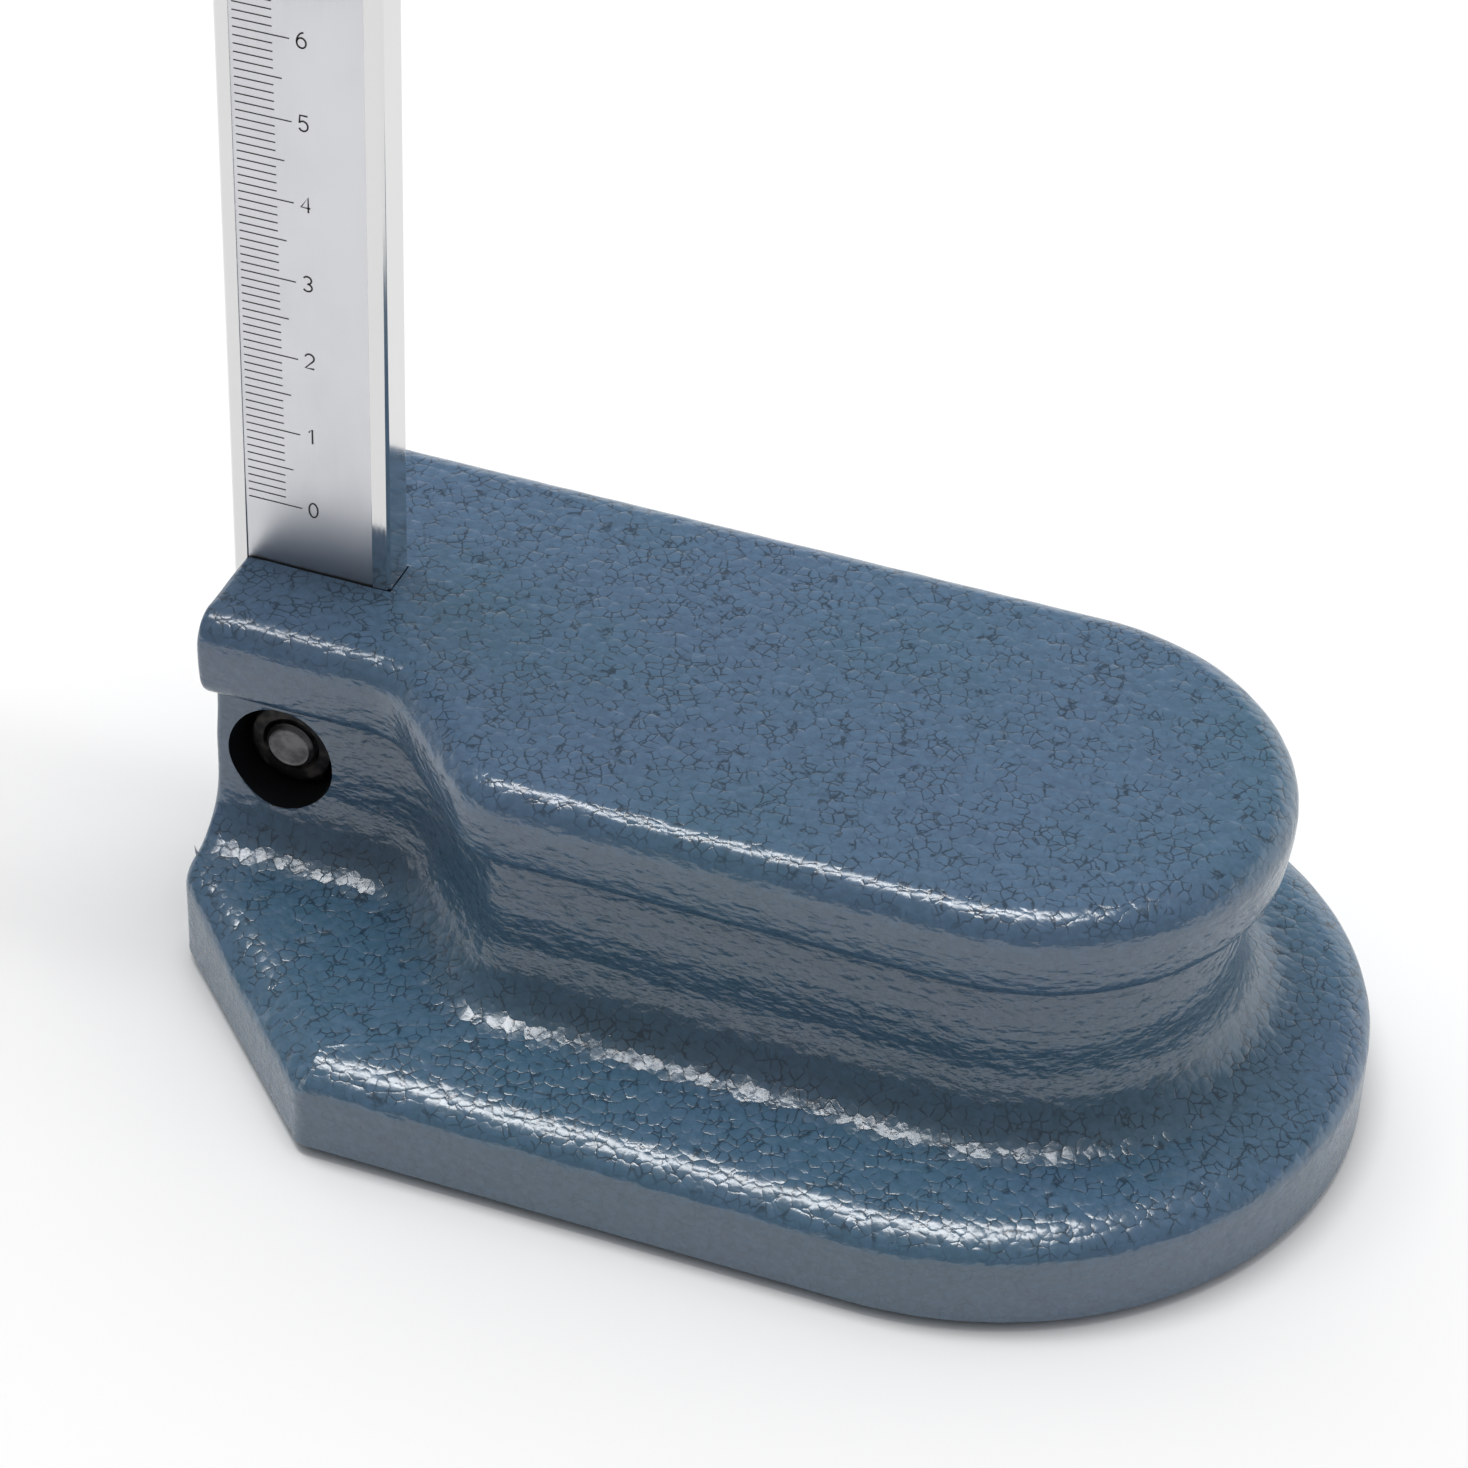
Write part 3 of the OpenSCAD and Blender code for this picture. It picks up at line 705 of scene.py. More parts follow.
ENAMEL = HammeredEnamel("hammered_enamel", (0.078, 0.142, 0.236))
# painted shade: near-black on the bare iron in the slot, the well, the bolt's holes and the sole relief
# stands in for the shade inside them
BARE_IRON_PAINTED_SHADE = Paint("bare_iron", (0.012, 0.013, 0.015), roughness=0.45)
LAND_STEEL = GroundSteel("ground_land", (0.70, 0.70, 0.70), roughness=0.09, stain=0.05)
SCALE_STEEL = GroundSteel("scale_face", (0.66, 0.665, 0.69), roughness=0.33, scratch=0.0004, stain=0.04)
SATIN_STEEL = GroundSteel("satin_chrome", (0.60, 0.60, 0.61), roughness=0.24, grain=Axis.X)
BRIGHT_STEEL = GroundSteel("turned_steel", (0.66, 0.66, 0.67), roughness=0.17, grain=Axis.X)
VERNIER_STEEL = GroundSteel("vernier_face", (0.68, 0.68, 0.69), roughness=0.3, scratch=0.0003, stain=0.04)
TOOL_STEEL = GroundSteel("tool_steel", (0.52, 0.51, 0.50), roughness=0.2, grain=Axis.X, scratch=0.0009)
CARBIDE = GroundSteel("carbide", (0.20, 0.20, 0.21), roughness=0.3, grain=Axis.Y, stain=0.2)
BRASS = GroundSteel("brass", (0.72, 0.50, 0.20), roughness=0.3, stain=0.3)
BLACK_STEEL = BlackenedSteel("blackened_steel", (0.012, 0.012, 0.013), bare=(0.055, 0.050, 0.046))
STUD_STEEL = BlackenedSteel("stud_end", (0.10, 0.098, 0.10), bare=(0.24, 0.235, 0.24), roughness=0.38)
INK = Paint("engraving_black", (0.010, 0.010, 0.012), roughness=0.55, mottle=0.1)


# ---- base ----


LIP_POINT = 40  # a section point on the lip's round, whose y tells the front rings from the rear ones


@dataclass
class BaseCasting:
    """The enamelled base: top plate with its lip, waist, cove and flange, carried along one outline."""

    height: float = 45.0
    end_x: float = -8.3
    end_round: float = 1.0
    neck: float = 9.1
    neck_fillet: float = 12.0
    neck_stop: float = 12.43
    waist: float = 24.6
    round_x: float = 34.56
    flare_round: float = 4.0
    waist_end_x: float = 85.8
    lip: float = 4.6
    lip_r: float = 4.0
    side_r: float = 28.0
    side_turn: float = 10.0
    under_r: float = 2.8
    under_fillet: float = 2.0
    wall_r: float = 24.0
    wall_turn: float = 7.0
    wall_slope: float = 1.8
    wall_low: float = 24.2
    cove_r: float = 8.4
    cove_foot: float = 13.3
    top_fall: float = 8.0
    flange: float = 44.6
    flange_end_x: float = 81.8
    flange_neck: float = 18.9
    flange_corner: float = 2.5
    flange_r: float = 2.6
    brow_r: float = 9.0
    brow_turn: float = 33.0
    sole_bevel: float = 1.4
    spine_y: float = 7.75
    clamp_z: float = 24.9
    well_r: float = 6.5
    bolt_hole_r: float = 3.2
    head_well_r: float = 5.75
    head_seat_y: float = 17.7
    slot_floor: float = 8.0
    slot_gap: float = 0.09
    relief: float = 2.5
    rim: float = 10.6
    rim_end: float = 15.0
    swell: float = 0.045
    swell_length: float = 5.0
    swell_seed: int = 11
    cove_share: float = 0.72
    brow_grow: float = 8.0
    spine_from: float = 12.0
    spine_run: float = 22.0
    neck_along: float = 17.0
    fillet_along: float = 25.0
    tip_rings: int = 6
    neck_rings: int = 28
    fillet_rings: int = 14
    flare_rings: int = 22
    corner_rings: int = 8
    front_rings: int = 84
    end_rings: int = 151

    def outline(self) -> tuple[Array, Array, Array, Array]:
        """Waist and flange seen from above, in rings from the left end round the front to the rear.

        The waist runs along the neck, the concave fillet, the flare at 45 degrees, its round corner, the
        front and the round end; the flange runs along its diagonal, its corner, its front and its end.
        Each ring joins one waist point to one flange point. Along the diagonal the neck's rings reach to
        neck_along and the fillet's to fillet_along, measured from its left end.

        Returns:
            Waist points, their outward normals, flange points, and the flange's offset directions.
        """
        half = math.sqrt(0.5)
        slant, slant_n = np.array([half, -half]), np.array([-half, -half])
        start = np.array([self.end_x, -self.flange_neck])
        turn = self.flange_corner * math.tan(math.radians(22.5))
        diagonal = (self.flange - self.flange_neck) / half - turn
        neck_to, fillet_to, fronts = self.neck_along, self.fillet_along, self.front_rings
        deg = np.radians

        def steps(begin: float, end: float, count: int) -> Array:
            """Equal steps from begin, without the end."""
            return np.linspace(begin, end, count, endpoint=False)

        def at(t: Array) -> Array:
            """Points at distances t along the flange's diagonal."""
            return start + np.outer(t, slant)

        def arc(centre: Sequence[float], radius: float, angle: Array | float) -> Array:
            """Points of a circle at angles."""
            return np.array(centre) + radius * np.stack([np.cos(angle), np.sin(angle)], -1)

        def level(x: Array, y: float) -> Array:
            """Points at x on a straight of one y."""
            return np.stack([x, np.full_like(x, y)], -1)

        tip = steps(0, np.pi / 2, self.tip_rings)
        x_tip = self.end_x + self.end_round * (1 - np.cos(tip))
        x_neck = steps(self.end_x + self.end_round, self.neck_stop, self.neck_rings)
        u = steps(0, 1, self.neck_rings)
        t_tip = (x_tip - self.end_x) / half
        t_neck = self.end_round / half + u * (neck_to - self.end_round / half)
        fillet = deg(steps(90, 45, self.fillet_rings))
        fillet_c = (self.neck_stop, -self.neck - self.neck_fillet)
        flare_a = arc(fillet_c, self.neck_fillet, deg(45.0))
        round_c = (self.round_x, self.flare_round - self.waist)
        flare_b = arc(round_c, self.flare_round, deg(-135.0))
        v = steps(0, 1, self.flare_rings)[:, None]
        bend = deg(steps(-135, -90, self.corner_rings))
        front = steps(0, 1, fronts)
        corner_c = (self.end_x + self.flange - self.flange_neck + turn, self.flange_corner - self.flange)

        x_wall = np.concatenate([x_tip, x_neck])
        w = [
            level(x_wall, -self.neck),
            arc(fillet_c, self.neck_fillet, fillet),
            flare_a + v * (flare_b - flare_a),
            arc(round_c, self.flare_round, bend),
            level(self.round_x + front * (self.waist_end_x - self.round_x), -self.waist),
        ]
        n = [
            np.tile([0.0, -1.0], (len(x_wall), 1)),
            -np.stack([np.cos(fillet), np.sin(fillet)], -1),
            np.tile(slant_n, (self.flare_rings, 1)),
            np.stack([np.cos(bend), np.sin(bend)], -1),
            np.tile([0.0, -1.0], (fronts, 1)),
        ]
        f = [
            at(np.concatenate([t_tip, t_neck])),
            at(steps(neck_to, fillet_to, self.fillet_rings)),
            at(fillet_to + v[:, 0] * (diagonal - fillet_to)),
            arc(corner_c, self.flange_corner, bend),
            level(corner_c[0] + front * (self.flange_end_x - corner_c[0]), -self.flange),
        ]
        slide = np.concatenate([np.ones(len(x_tip)), 1 - u * u * (3 - 2 * u)])[:, None]
        o = [slant_n + slide * slant, np.tile(slant_n, (self.fillet_rings + self.flare_rings, 1)), n[3], n[4]]
        w_front, n_front, f_front, o_front = (np.vstack(part) for part in (w, n, f, o))

        sweep = deg(np.linspace(-90, 90, self.end_rings))
        out = np.stack([np.cos(sweep), np.sin(sweep)], -1)
        x_rear = w_front[::-1, 0]
        share = (x_rear - self.end_x) / (self.waist_end_x - self.end_x)
        x_rear_f = self.end_x + share * (self.flange_end_x - self.end_x)
        rear_n = np.tile([0.0, 1.0], (len(x_rear), 1))
        tipped = x_rear < self.end_x + self.end_round
        x_rear_f = np.where(tipped, x_rear, x_rear_f)
        w_end = arc((self.waist_end_x, 0), self.waist, sweep)
        f_end = arc((self.flange_end_x, 0), self.flange, sweep)
        return (
            np.vstack([w_front, w_end, level(x_rear, self.waist)]),
            np.vstack([n_front, out, rear_n]),
            np.vstack([f_front, f_end, level(x_rear_f, self.flange)]),
            np.vstack([o_front, out, rear_n]),
        )

    def section(self, w: Array, n: Array, f: Array, o: Array) -> Array:
        """Carries the section along the outline.

        From the spine over the top to the lip's quarter round, its upright side, the turn under it, the
        fillet, the waist, the cove, a straight that falls by top_fall, the flange's wide brow, its
        small round, the side, the bevel and the sole back to the spine. The waist leans out by wall_turn and
        stands upright again above the cove. Each arc starts with the tilt at which the last one ends, so the
        next centre lies on the line through the last centre and the joint. Where the flange is narrow, the
        cove is tighter and the brow shrinks to the small round.

        Args:
            w: waist points of the outline.
            n: the waist's outward normals.
            f: flange points of the outline.
            o: the flange's offset directions.
        Returns:
            An array of rings by section points by three.
        """
        x = w[:, 0]
        ease = np.clip((x - self.spine_from) / self.spine_run, 0, 1)
        spine = np.stack([x, self.spine_y * (1 - ease * ease * (3 - 2 * ease))], -1)
        reach = ((f - w) * n).sum(1)[:, None]
        squeeze = np.abs((o * n).sum(1))[:, None]
        narrow = float(reach.min())
        cove = np.minimum(self.cove_r, self.cove_share * reach)
        wide = np.clip((reach - narrow) / self.brow_grow, 0, 1)
        brow = self.flange_r + (self.brow_r - self.flange_r) * wide
        side_turn, wall_turn = np.radians([self.side_turn, self.wall_turn])
        fall, brow_turn = np.radians([self.top_fall, self.brow_turn])

        lip_d, lip_z = self.lip - self.lip_r, self.height - self.lip_r
        side_d = self.lip - self.side_r
        under_d = side_d + (self.side_r - self.under_r) * math.cos(side_turn)
        under_z = lip_z - (self.side_r - self.under_r) * math.sin(side_turn)
        both_r = self.under_r + self.under_fillet
        fillet_z = under_z - math.sqrt(both_r**2 - (self.under_fillet - under_d) ** 2)
        touch = math.atan2(under_z - fillet_z, self.under_fillet - under_d)
        step_d, step_z = self.wall_r * (1 - math.cos(wall_turn)), self.wall_r * math.sin(wall_turn)
        slope_d, slope_z = self.wall_slope * math.sin(wall_turn), self.wall_slope * math.cos(wall_turn)
        low_d = 2 * step_d + slope_d
        wall_z = self.wall_low + 2 * step_z + slope_z
        cove_d = low_d + cove
        cove_z = self.cove_foot + cove
        brow_inset = self.flange_r + (brow - self.flange_r) * math.sin(brow_turn)
        run = reach - (brow_inset - brow * math.sin(fall)) * squeeze - (cove_d - cove * math.sin(fall))
        brow_z = cove_z - cove * math.cos(fall) - run * math.tan(fall) - brow * math.cos(fall)
        edge_z = brow_z + (brow - self.flange_r) * math.cos(brow_turn)

        def carried(line: Array, way: Array, away: Array, z: Array) -> Array:
            """Points at a distance away from a line of the outline, along way, and at height z.

            Args:
                line: points of the outline.
                way: a direction for each of them.
                away: distances along the directions.
                z: heights.
            Returns:
                An array of rings by points by three.
            """
            away, z = np.broadcast_arrays(away, z)
            flat = line[:, None] + way[:, None] * away[..., None]
            return np.concatenate([flat, z[..., None] + 0 * x[:, None, None]], -1)

        def at_waist(d: Array, z: Array) -> Array:
            """Points at distance d out from the waist and height z."""
            return carried(w, n, d, z)

        def at_edge(inset: Array, z: Array) -> Array:
            """Points at a distance in from the flange's edge and height z."""
            return carried(f, -o, inset, z)

        def between(a: Array, b: Array, count: int) -> Array:
            """Points on the straight from a to b, without b."""
            t = np.linspace(0, 1, count, endpoint=False)[None, :, None]
            return a + t * (b - a)

        def sweep(start: float, end: float, count: int, last: bool = False) -> Array:
            """Angles from start to end, with or without the end."""
            return np.linspace(start, end, count, endpoint=last)[None, :]

        one = np.ones((1, 1))
        top = np.concatenate([spine, np.full((len(x), 1), self.height)], 1)[:, None]
        sole = np.concatenate([spine, np.zeros((len(x), 1))], 1)[:, None]
        a, b, c = sweep(np.pi / 2, 0, 12), sweep(0, side_turn, 6), sweep(side_turn, touch, 12)
        e, g, k = sweep(np.pi - touch, np.pi, 8), sweep(0, wall_turn, 7), sweep(wall_turn, 0, 7)
        t = sweep(0, np.pi / 2 - fall, 22, last=True)
        u, v = sweep(fall, brow_turn, 9), sweep(brow_turn, np.pi / 2, 9)
        hollow = at_waist(cove_d - cove * np.cos(t), cove_z - cove * np.sin(t))
        rim = at_edge(brow_inset - brow * np.sin(u), brow_z + brow * np.cos(u))
        side_top, side_low = at_edge(0 * one, edge_z), at_edge(0 * one, self.sole_bevel * one)
        sole_edge = at_edge(self.sole_bevel * one, 0 * one)
        return np.concatenate(
            [
                between(top, at_waist(lip_d * one, self.height * one), 32),
                at_waist(lip_d + self.lip_r * np.cos(a), lip_z + self.lip_r * np.sin(a)),
                at_waist(side_d + self.side_r * np.cos(b), lip_z - self.side_r * np.sin(b)),
                at_waist(under_d + self.under_r * np.cos(c), under_z - self.under_r * np.sin(c)),
                at_waist(self.under_fillet * (1 + np.cos(e)), fillet_z + self.under_fillet * np.sin(e)),
                between(at_waist(0 * one, fillet_z * one), at_waist(0 * one, wall_z * one), 2),
                at_waist(self.wall_r * (1 - np.cos(g)), wall_z - self.wall_r * np.sin(g)),
                at_waist(low_d - self.wall_r * (1 - np.cos(k)), self.wall_low + self.wall_r * np.sin(k)),
                between(at_waist(low_d * one, self.wall_low * one), hollow[:, :1], 4),
                hollow[:, :-1],
                between(hollow[:, -1:], rim[:, :1], 10),
                rim,
                at_edge(self.flange_r * (1 - np.sin(v)), edge_z + self.flange_r * np.cos(v)),
                between(side_top, side_low, 10),
                between(side_low, sole_edge, 2),
                between(sole_edge, sole, 6),
                sole,
            ],
            1,
        )

    def soften_end(self, rings: Array) -> Array:
        """Draws the rings at the left end in, so that its edge is a quarter round of end_round.

        A ring at distance e from the end is drawn in by r - sqrt(r*r - (r - e)**2), square to the section.

        Args:
            rings: rings by section points by three.
        Returns:
            The rings, with those near the left end drawn in.
        """
        away = np.clip(rings[:, 0, 0] - self.end_x, 0, self.end_round)
        inset = self.end_round - np.sqrt(self.end_round**2 - (self.end_round - away) ** 2)
        along = np.gradient(rings[..., 1:], axis=1)
        along /= np.linalg.norm(along, axis=-1, keepdims=True) + 1e-12
        inward = np.stack([-along[..., 1], along[..., 0]], -1)
        inward *= np.where(rings[:, LIP_POINT, None, 1:2] > self.spine_y, -1.0, 1.0)
        inward[:, 0] = (0, -1)
        inward[:, -1] = (0, 1)
        near = (inset > 1e-9)[:, None, None]
        soft = rings.copy()
        soft[..., 1:] += np.where(near, inward * inset[:, None, None], 0)
        soft[:, 0, 2] = self.height - inset
        soft[:, -1, 2] = inset
        return soft

    def shell(self) -> bpy.types.Mesh:
        """The closed casting before its cuts, with the coat's slow swelling pressed into it by up to swell.

        The swelling comes in above the sole, so that the casting still stands flat.

        Returns:
            The mesh.
        """
        rings = self.soften_end(self.section(*self.outline()))
        count, points = rings.shape[:2]
        faces = grid_faces(count, points).tolist()
        last = (count - 1) * points
        faces.append([*range(points), *range(last + points - 2, last, -1)])
        mesh = bpy.data.meshes.new("enamelled_base")
        mesh.from_pydata((rings.reshape(-1, 3) * MM).tolist(), [], faces)
        merge_mesh(mesh, 0.002)
        place, normal = read_points(mesh)
        lifted = np.clip((place[:, 2] - 1.0) / 1.5, 0, 1)
        depth = self.swell * lifted * (0.5 + 0.5 * waves(place, self.swell_length, self.swell_seed))
        write_points(mesh, place - normal * depth[:, None])
        return mesh

    def cutters(self) -> list[bpy.types.Mesh]:
        """Beam slot, nut well, bolt hole, head well and sole relief, each standing out past the casting.

        Returns:
            The cutters, in the order of the cuts.
        """
        low, high, _ = node_box("beam")
        gap = self.slot_gap
        slot = box_mesh(
            "slot",
            (self.end_x - 5, low[1] - gap, self.slot_floor),
            (high[0] + gap, high[1] + gap, self.height + 5),
        )

        def drilled(name: str, front: float, back: float, radius: float, segments: int) -> bpy.types.Mesh:
            """A cylinder round the clamp's axis."""
            profile = np.array([(front, 0), (front, radius), (back, radius), (back, 0)])
            return turned(name, profile, Axis.Y, (0, 0, self.clamp_z), segments)

        well = drilled("well", -30, low[1] + 1, self.well_r, 96)
        hole = drilled("hole", 4, 22, self.bolt_hole_r, 64)
        head_well = drilled("head_well", self.head_seat_y, 45, self.head_well_r, 72)
        half = self.flange - self.rim
        sweep = np.radians(np.linspace(-90, 90, 65))
        ring = np.vstack(
            [
                [(self.rim_end, -half)],
                np.stack([self.flange_end_x + half * np.cos(sweep), half * np.sin(sweep)], -1),
                [(self.rim_end, half)],
            ]
        )
        count = len(ring)
        points = np.vstack([np.c_[ring, np.full(count, -1.0)], np.c_[ring, np.full(count, self.relief)]])
        caps = [list(range(count)), list(range(2 * count - 1, count - 1, -1))]
        faces = [*grid_faces(2, count, wrap_cols=True).tolist(), *caps]
        relief = bpy.data.meshes.new("relief")
        relief.from_pydata((points * MM).tolist(), [], faces)
        merge_mesh(relief, 0.0001)
        return [slot, well, hole, head_well, relief]

    def bare_faces(self, mesh: bpy.types.Mesh) -> Array:
        """Finds the faces inside the slot, the well, the bolt's holes and the relief, where no enamel went;
        they get the near-black painted shade.

        Args:
            mesh: the cut casting.
        Returns:
            True for each bare face.
        """
        x, y, z = read_faces(mesh)[0].T
        off_axis = np.hypot(x, z - self.clamp_z)
        well = (off_axis < self.well_r + 0.02) & (y < 21.5)
        slot = (x < 9.7) & (y > -0.02) & (y < 5.22) & (z > self.slot_floor - 0.02) & (z < self.height - 0.6)
        under = z < self.relief + 0.05
        off_end = np.hypot(np.clip(x - self.flange_end_x, 0, None), y)
        sole = under & (off_end < self.flange - self.rim + 0.05) & (x > self.rim_end - 0.1) | (z < 0.01)
        return well | slot | sole

    def build(self) -> list[bpy.types.Object]:
        """Builds, cuts and dresses the base.

        Returns:
            The base in a list.
        """
        piece = link_piece("enamelled_base", self.shell(), ENAMEL, BARE_IRON_PAINTED_SHADE)
        cut(piece, *self.cutters())
        mesh = piece.data
        _, normal = read_points(mesh)
        wall = np.clip((0.9 - np.abs(normal[:, 2])) / 0.6, 0, 1).astype(np.float32)
        mesh.attributes.new("wall", "FLOAT", "POINT").data.foreach_set("value", wall)
        # painted shade: the bare faces get the near-black iron that stands in for the shade inside the cuts
        mesh.polygons.foreach_set("material_index", self.bare_faces(mesh).astype(np.int32))
        shade(mesh, 35)
        return [settle(piece, "base", "enamel", "base_casting")]


def read_points(mesh: bpy.types.Mesh) -> tuple[Array, Array]:
    """A mesh's points in mm and its normals at them.

    Args:
        mesh: the mesh.
    Returns:
        One row for each point in both arrays.
    """
    place, normal = np.zeros(len(mesh.vertices) * 3), np.zeros(len(mesh.vertices) * 3)
    mesh.vertices.foreach_get("co", place)
    mesh.vertices.foreach_get("normal", normal)
    return place.reshape(-1, 3) / MM, normal.reshape(-1, 3)


def read_faces(mesh: bpy.types.Mesh) -> tuple[Array, Array]:
    """The middles of a mesh's faces in mm and their normals.

    Args:
        mesh: the mesh.
    Returns:
        One row for each face in both arrays.
    """
    middle, normal = np.zeros(len(mesh.polygons) * 3), np.zeros(len(mesh.polygons) * 3)
    mesh.polygons.foreach_get("center", middle)
    mesh.polygons.foreach_get("normal", normal)
    return middle.reshape(-1, 3) / MM, normal.reshape(-1, 3)


def write_points(mesh: bpy.types.Mesh, points: Array) -> None:
    """Moves a mesh's points to places in mm."""
    mesh.vertices.foreach_set("co", (points * MM).ravel())
    mesh.update()


# ---- scale marks ----


@dataclass(frozen=True)
class Lettering:
    """Upright engraved digits, drawn as strokes of even width."""

    width: float = 1.25
    height: float = 2.06
    stroke: float = 0.19
    pitch: float = 1.55

    def strokes(self, digit: str) -> list[Array]:
        """The centre lines of one digit, as straights and arcs of an ellipse.

        Args:
            digit: a digit.
        Returns:
            For each stroke its points in mm from the digit's lower left.
        """
        s = self.stroke / 2
        x0, x1, y0, y1 = s, self.width - s, s, self.height - s
        mid, half = self.width / 2, self.height / 2

        def arc(cx: float, cy: float, rx: float, ry: float, a: float, b: float) -> Array:
            """Part of an ellipse between two angles in degrees."""
            t = np.radians(np.linspace(a, b, 25))
            return np.stack([cx + rx * np.cos(t), cy + ry * np.sin(t)], -1)

        r, low, high = mid - s, (half - y0) / 2 + y0, (y1 - half) / 2 + half
        shapes = {
            "0": [arc(mid, half, r, half - s, 0, 360)],
            "1": [np.array([(mid - 0.32, y1 - 0.42), (mid + 0.1, y1), (mid + 0.1, y0)])],
            "2": [np.vstack([arc(mid, y1 - r, r, r, 165, -38), [(x0, y0), (x1, y0)]])],
            "3": [
                arc(mid - 0.02, high, r * 0.9, y1 - high, 150, -90),
                arc(mid - 0.02, low, r, low - y0, 90, -150),
            ],
            "4": [np.array([(x1 - 0.22, y0), (x1 - 0.22, y1), (x0, y0 + 0.56), (x1, y0 + 0.56)])],
            "5": [
                np.vstack(
                    [
                        [(x1 - 0.05, y1), (x0 + 0.14, y1), (x0 + 0.06, half)],
                        arc(mid - 0.03, y0 + 0.6, r, 0.6, 128, -152),
                    ]
                )
            ],
            "6": [
                arc(mid, y0 + 0.6, r, 0.6, 0, 360),
                arc(mid + 0.35, y0 + 0.62, r + 0.35, y1 - y0 - 0.62, 180, 95),
            ],
            "7": [np.array([(x0, y1), (x1, y1), (mid - 0.15, y0)])],
            "8": [arc(mid, high, r * 0.88, y1 - high, 0, 360), arc(mid, low, r, low - y0, 0, 360)],
            "9": [
                arc(mid, y1 - 0.6, r, 0.6, 0, 360),
                arc(mid - 0.35, y1 - 0.62, r + 0.35, y1 - y0 - 0.62, 0, -85),
            ],
        }
        return shapes[digit]

    def ribbons(self, text: str, left: float, middle: float, scale: float = 1.0) -> list[Array]:
        """Ribbons of a number: each centre line widened to both sides along its normal.

        Args:
            text: the digits.
            left: where the number starts.
            middle: the height of its middle.
            scale: its size against the full size.
        Returns:
            For each stroke an array of points by two sides by two.
        """
        ribbons = []
        for place, digit in enumerate(text):
            for line in self.strokes(digit):
                along = np.gradient(line, axis=0)
                along /= np.linalg.norm(along, axis=1, keepdims=True)
                side = np.stack([-along[:, 1], along[:, 0]], -1) * self.stroke / 2
                both = np.stack([line - side, line + side], 1)
                both = both + (place * self.pitch, -self.height / 2)
                ribbons.append(both * scale + (left, middle))
        return ribbons


Surface = Callable[[Array, Array], Array]


def marks_piece(name: str, strips: list[Array], surface: Surface, depth: float) -> bpy.types.Object:
    """A piece of thin dark inlays: each strip of the drawing is carried onto a surface.

    Args:
        name: the piece's name.
        strips: arrays of points by two sides by two, across and up in mm.
        surface: gives the places in space for arrays of across and up.
        depth: thickness of the inlay in mm, sunk behind the drawing.
    Returns:
        The piece, with a live Solidify modifier.
    """
    points, faces, start = [], [], 0
    for strip in strips:
        flat = strip.reshape(-1, 2)
        points.append(surface(flat[:, 0], flat[:, 1]))
        faces.append(grid_faces(len(strip), 2) + start)
        start += len(flat)
    mesh = mesh_of(name, np.vstack(points), np.vstack(faces))
    piece = link_piece(name, mesh, INK)
    wall = piece.modifiers.new("inlay", "SOLIDIFY")
    wall.thickness = depth * MM
    wall.offset = -1
    return piece


def tick(left: float, right: float, height: float, thick: float) -> Array:
    """A level mark between left and right at a height."""
    low, high = height - thick / 2, height + thick / 2
    return np.array([[(left, low), (left, high)], [(right, low), (right, high)]])


def upright_at(y: float) -> Surface:
    """The upright plane at y, as a surface to draw on.

    Args:
        y: the plane's place in mm.
    Returns:
        The function that carries a drawing onto the plane.
    """

    def place(across: Array, up: Array) -> Array:
        """A drawing's point (across, up) goes to (across, y, up)."""
        return np.stack([across, np.full_like(across, y), up], -1)

    return place


# ---- beam ----


@dataclass
class BeamAndScale:
    """The graduated beam with its ground lands, and the screw that keeps the carriage on it."""

    bevel: float = 0.1
    face_y: float = 0.15
    zero_z: float = 53.4
    range_cm: int = 30
    tick_left: float = -7.5
    tick_ends: tuple[float, float, float] = (-0.97, -1.94, -2.94)
    tick_thick: float = 0.12
    digit_left: float = -0.21
    digit_rise: float = 0.1
    proud: float = 0.012

    def beam(self) -> bpy.types.Object:
        """The beam, satin on its sunk scale face and brightly ground elsewhere.

        Returns:
            The piece.
        """
        piece = from_cad("graduated_beam", "beam", self.bevel, LAND_STEEL, SCALE_STEEL)
        mesh = piece.data
        middle, normal = read_faces(mesh)
        sunk = (normal[:, 1] < -0.9) & (middle[:, 1] > self.face_y / 2) & (middle[:, 1] < 2 * self.face_y)
        mesh.polygons.foreach_set("material_index", sunk.astype(np.int32))
        return settle(piece, "base", "beam_steel", "beam")

    def scale(self) -> bpy.types.Object:
        """Millimetre, half-centimetre and centimetre marks with plain centimetre numbers.

        Returns:
            The piece.
        """
        whole, half, small = self.tick_ends
        strips = []
        for mm in range(self.range_cm * 10 + 1):
            end = whole if mm % 10 == 0 else half if mm % 5 == 0 else small
            strips.append(tick(self.tick_left, end, self.zero_z + mm, self.tick_thick))
        letters = Lettering()
        for cm in range(self.range_cm + 1):
            strips += letters.ribbons(str(cm), self.digit_left, self.zero_z + 10 * cm + self.digit_rise)
        face = upright_at(self.face_y - self.proud)
        piece = marks_piece("beam_scale_marks", strips, face, 2 * self.proud)
        return settle(piece, "base", "beam_steel")

    def build(self) -> list[bpy.types.Object]:
        """Builds and dresses beam, scale and stop screw."""
        stop = from_cad("beam_end_screw", "beam_stop_screw", 0.12, BLACK_STEEL)
        return [self.beam(), self.scale(), settle(stop, "base", "dark_steel", "beam_stop_screw")]


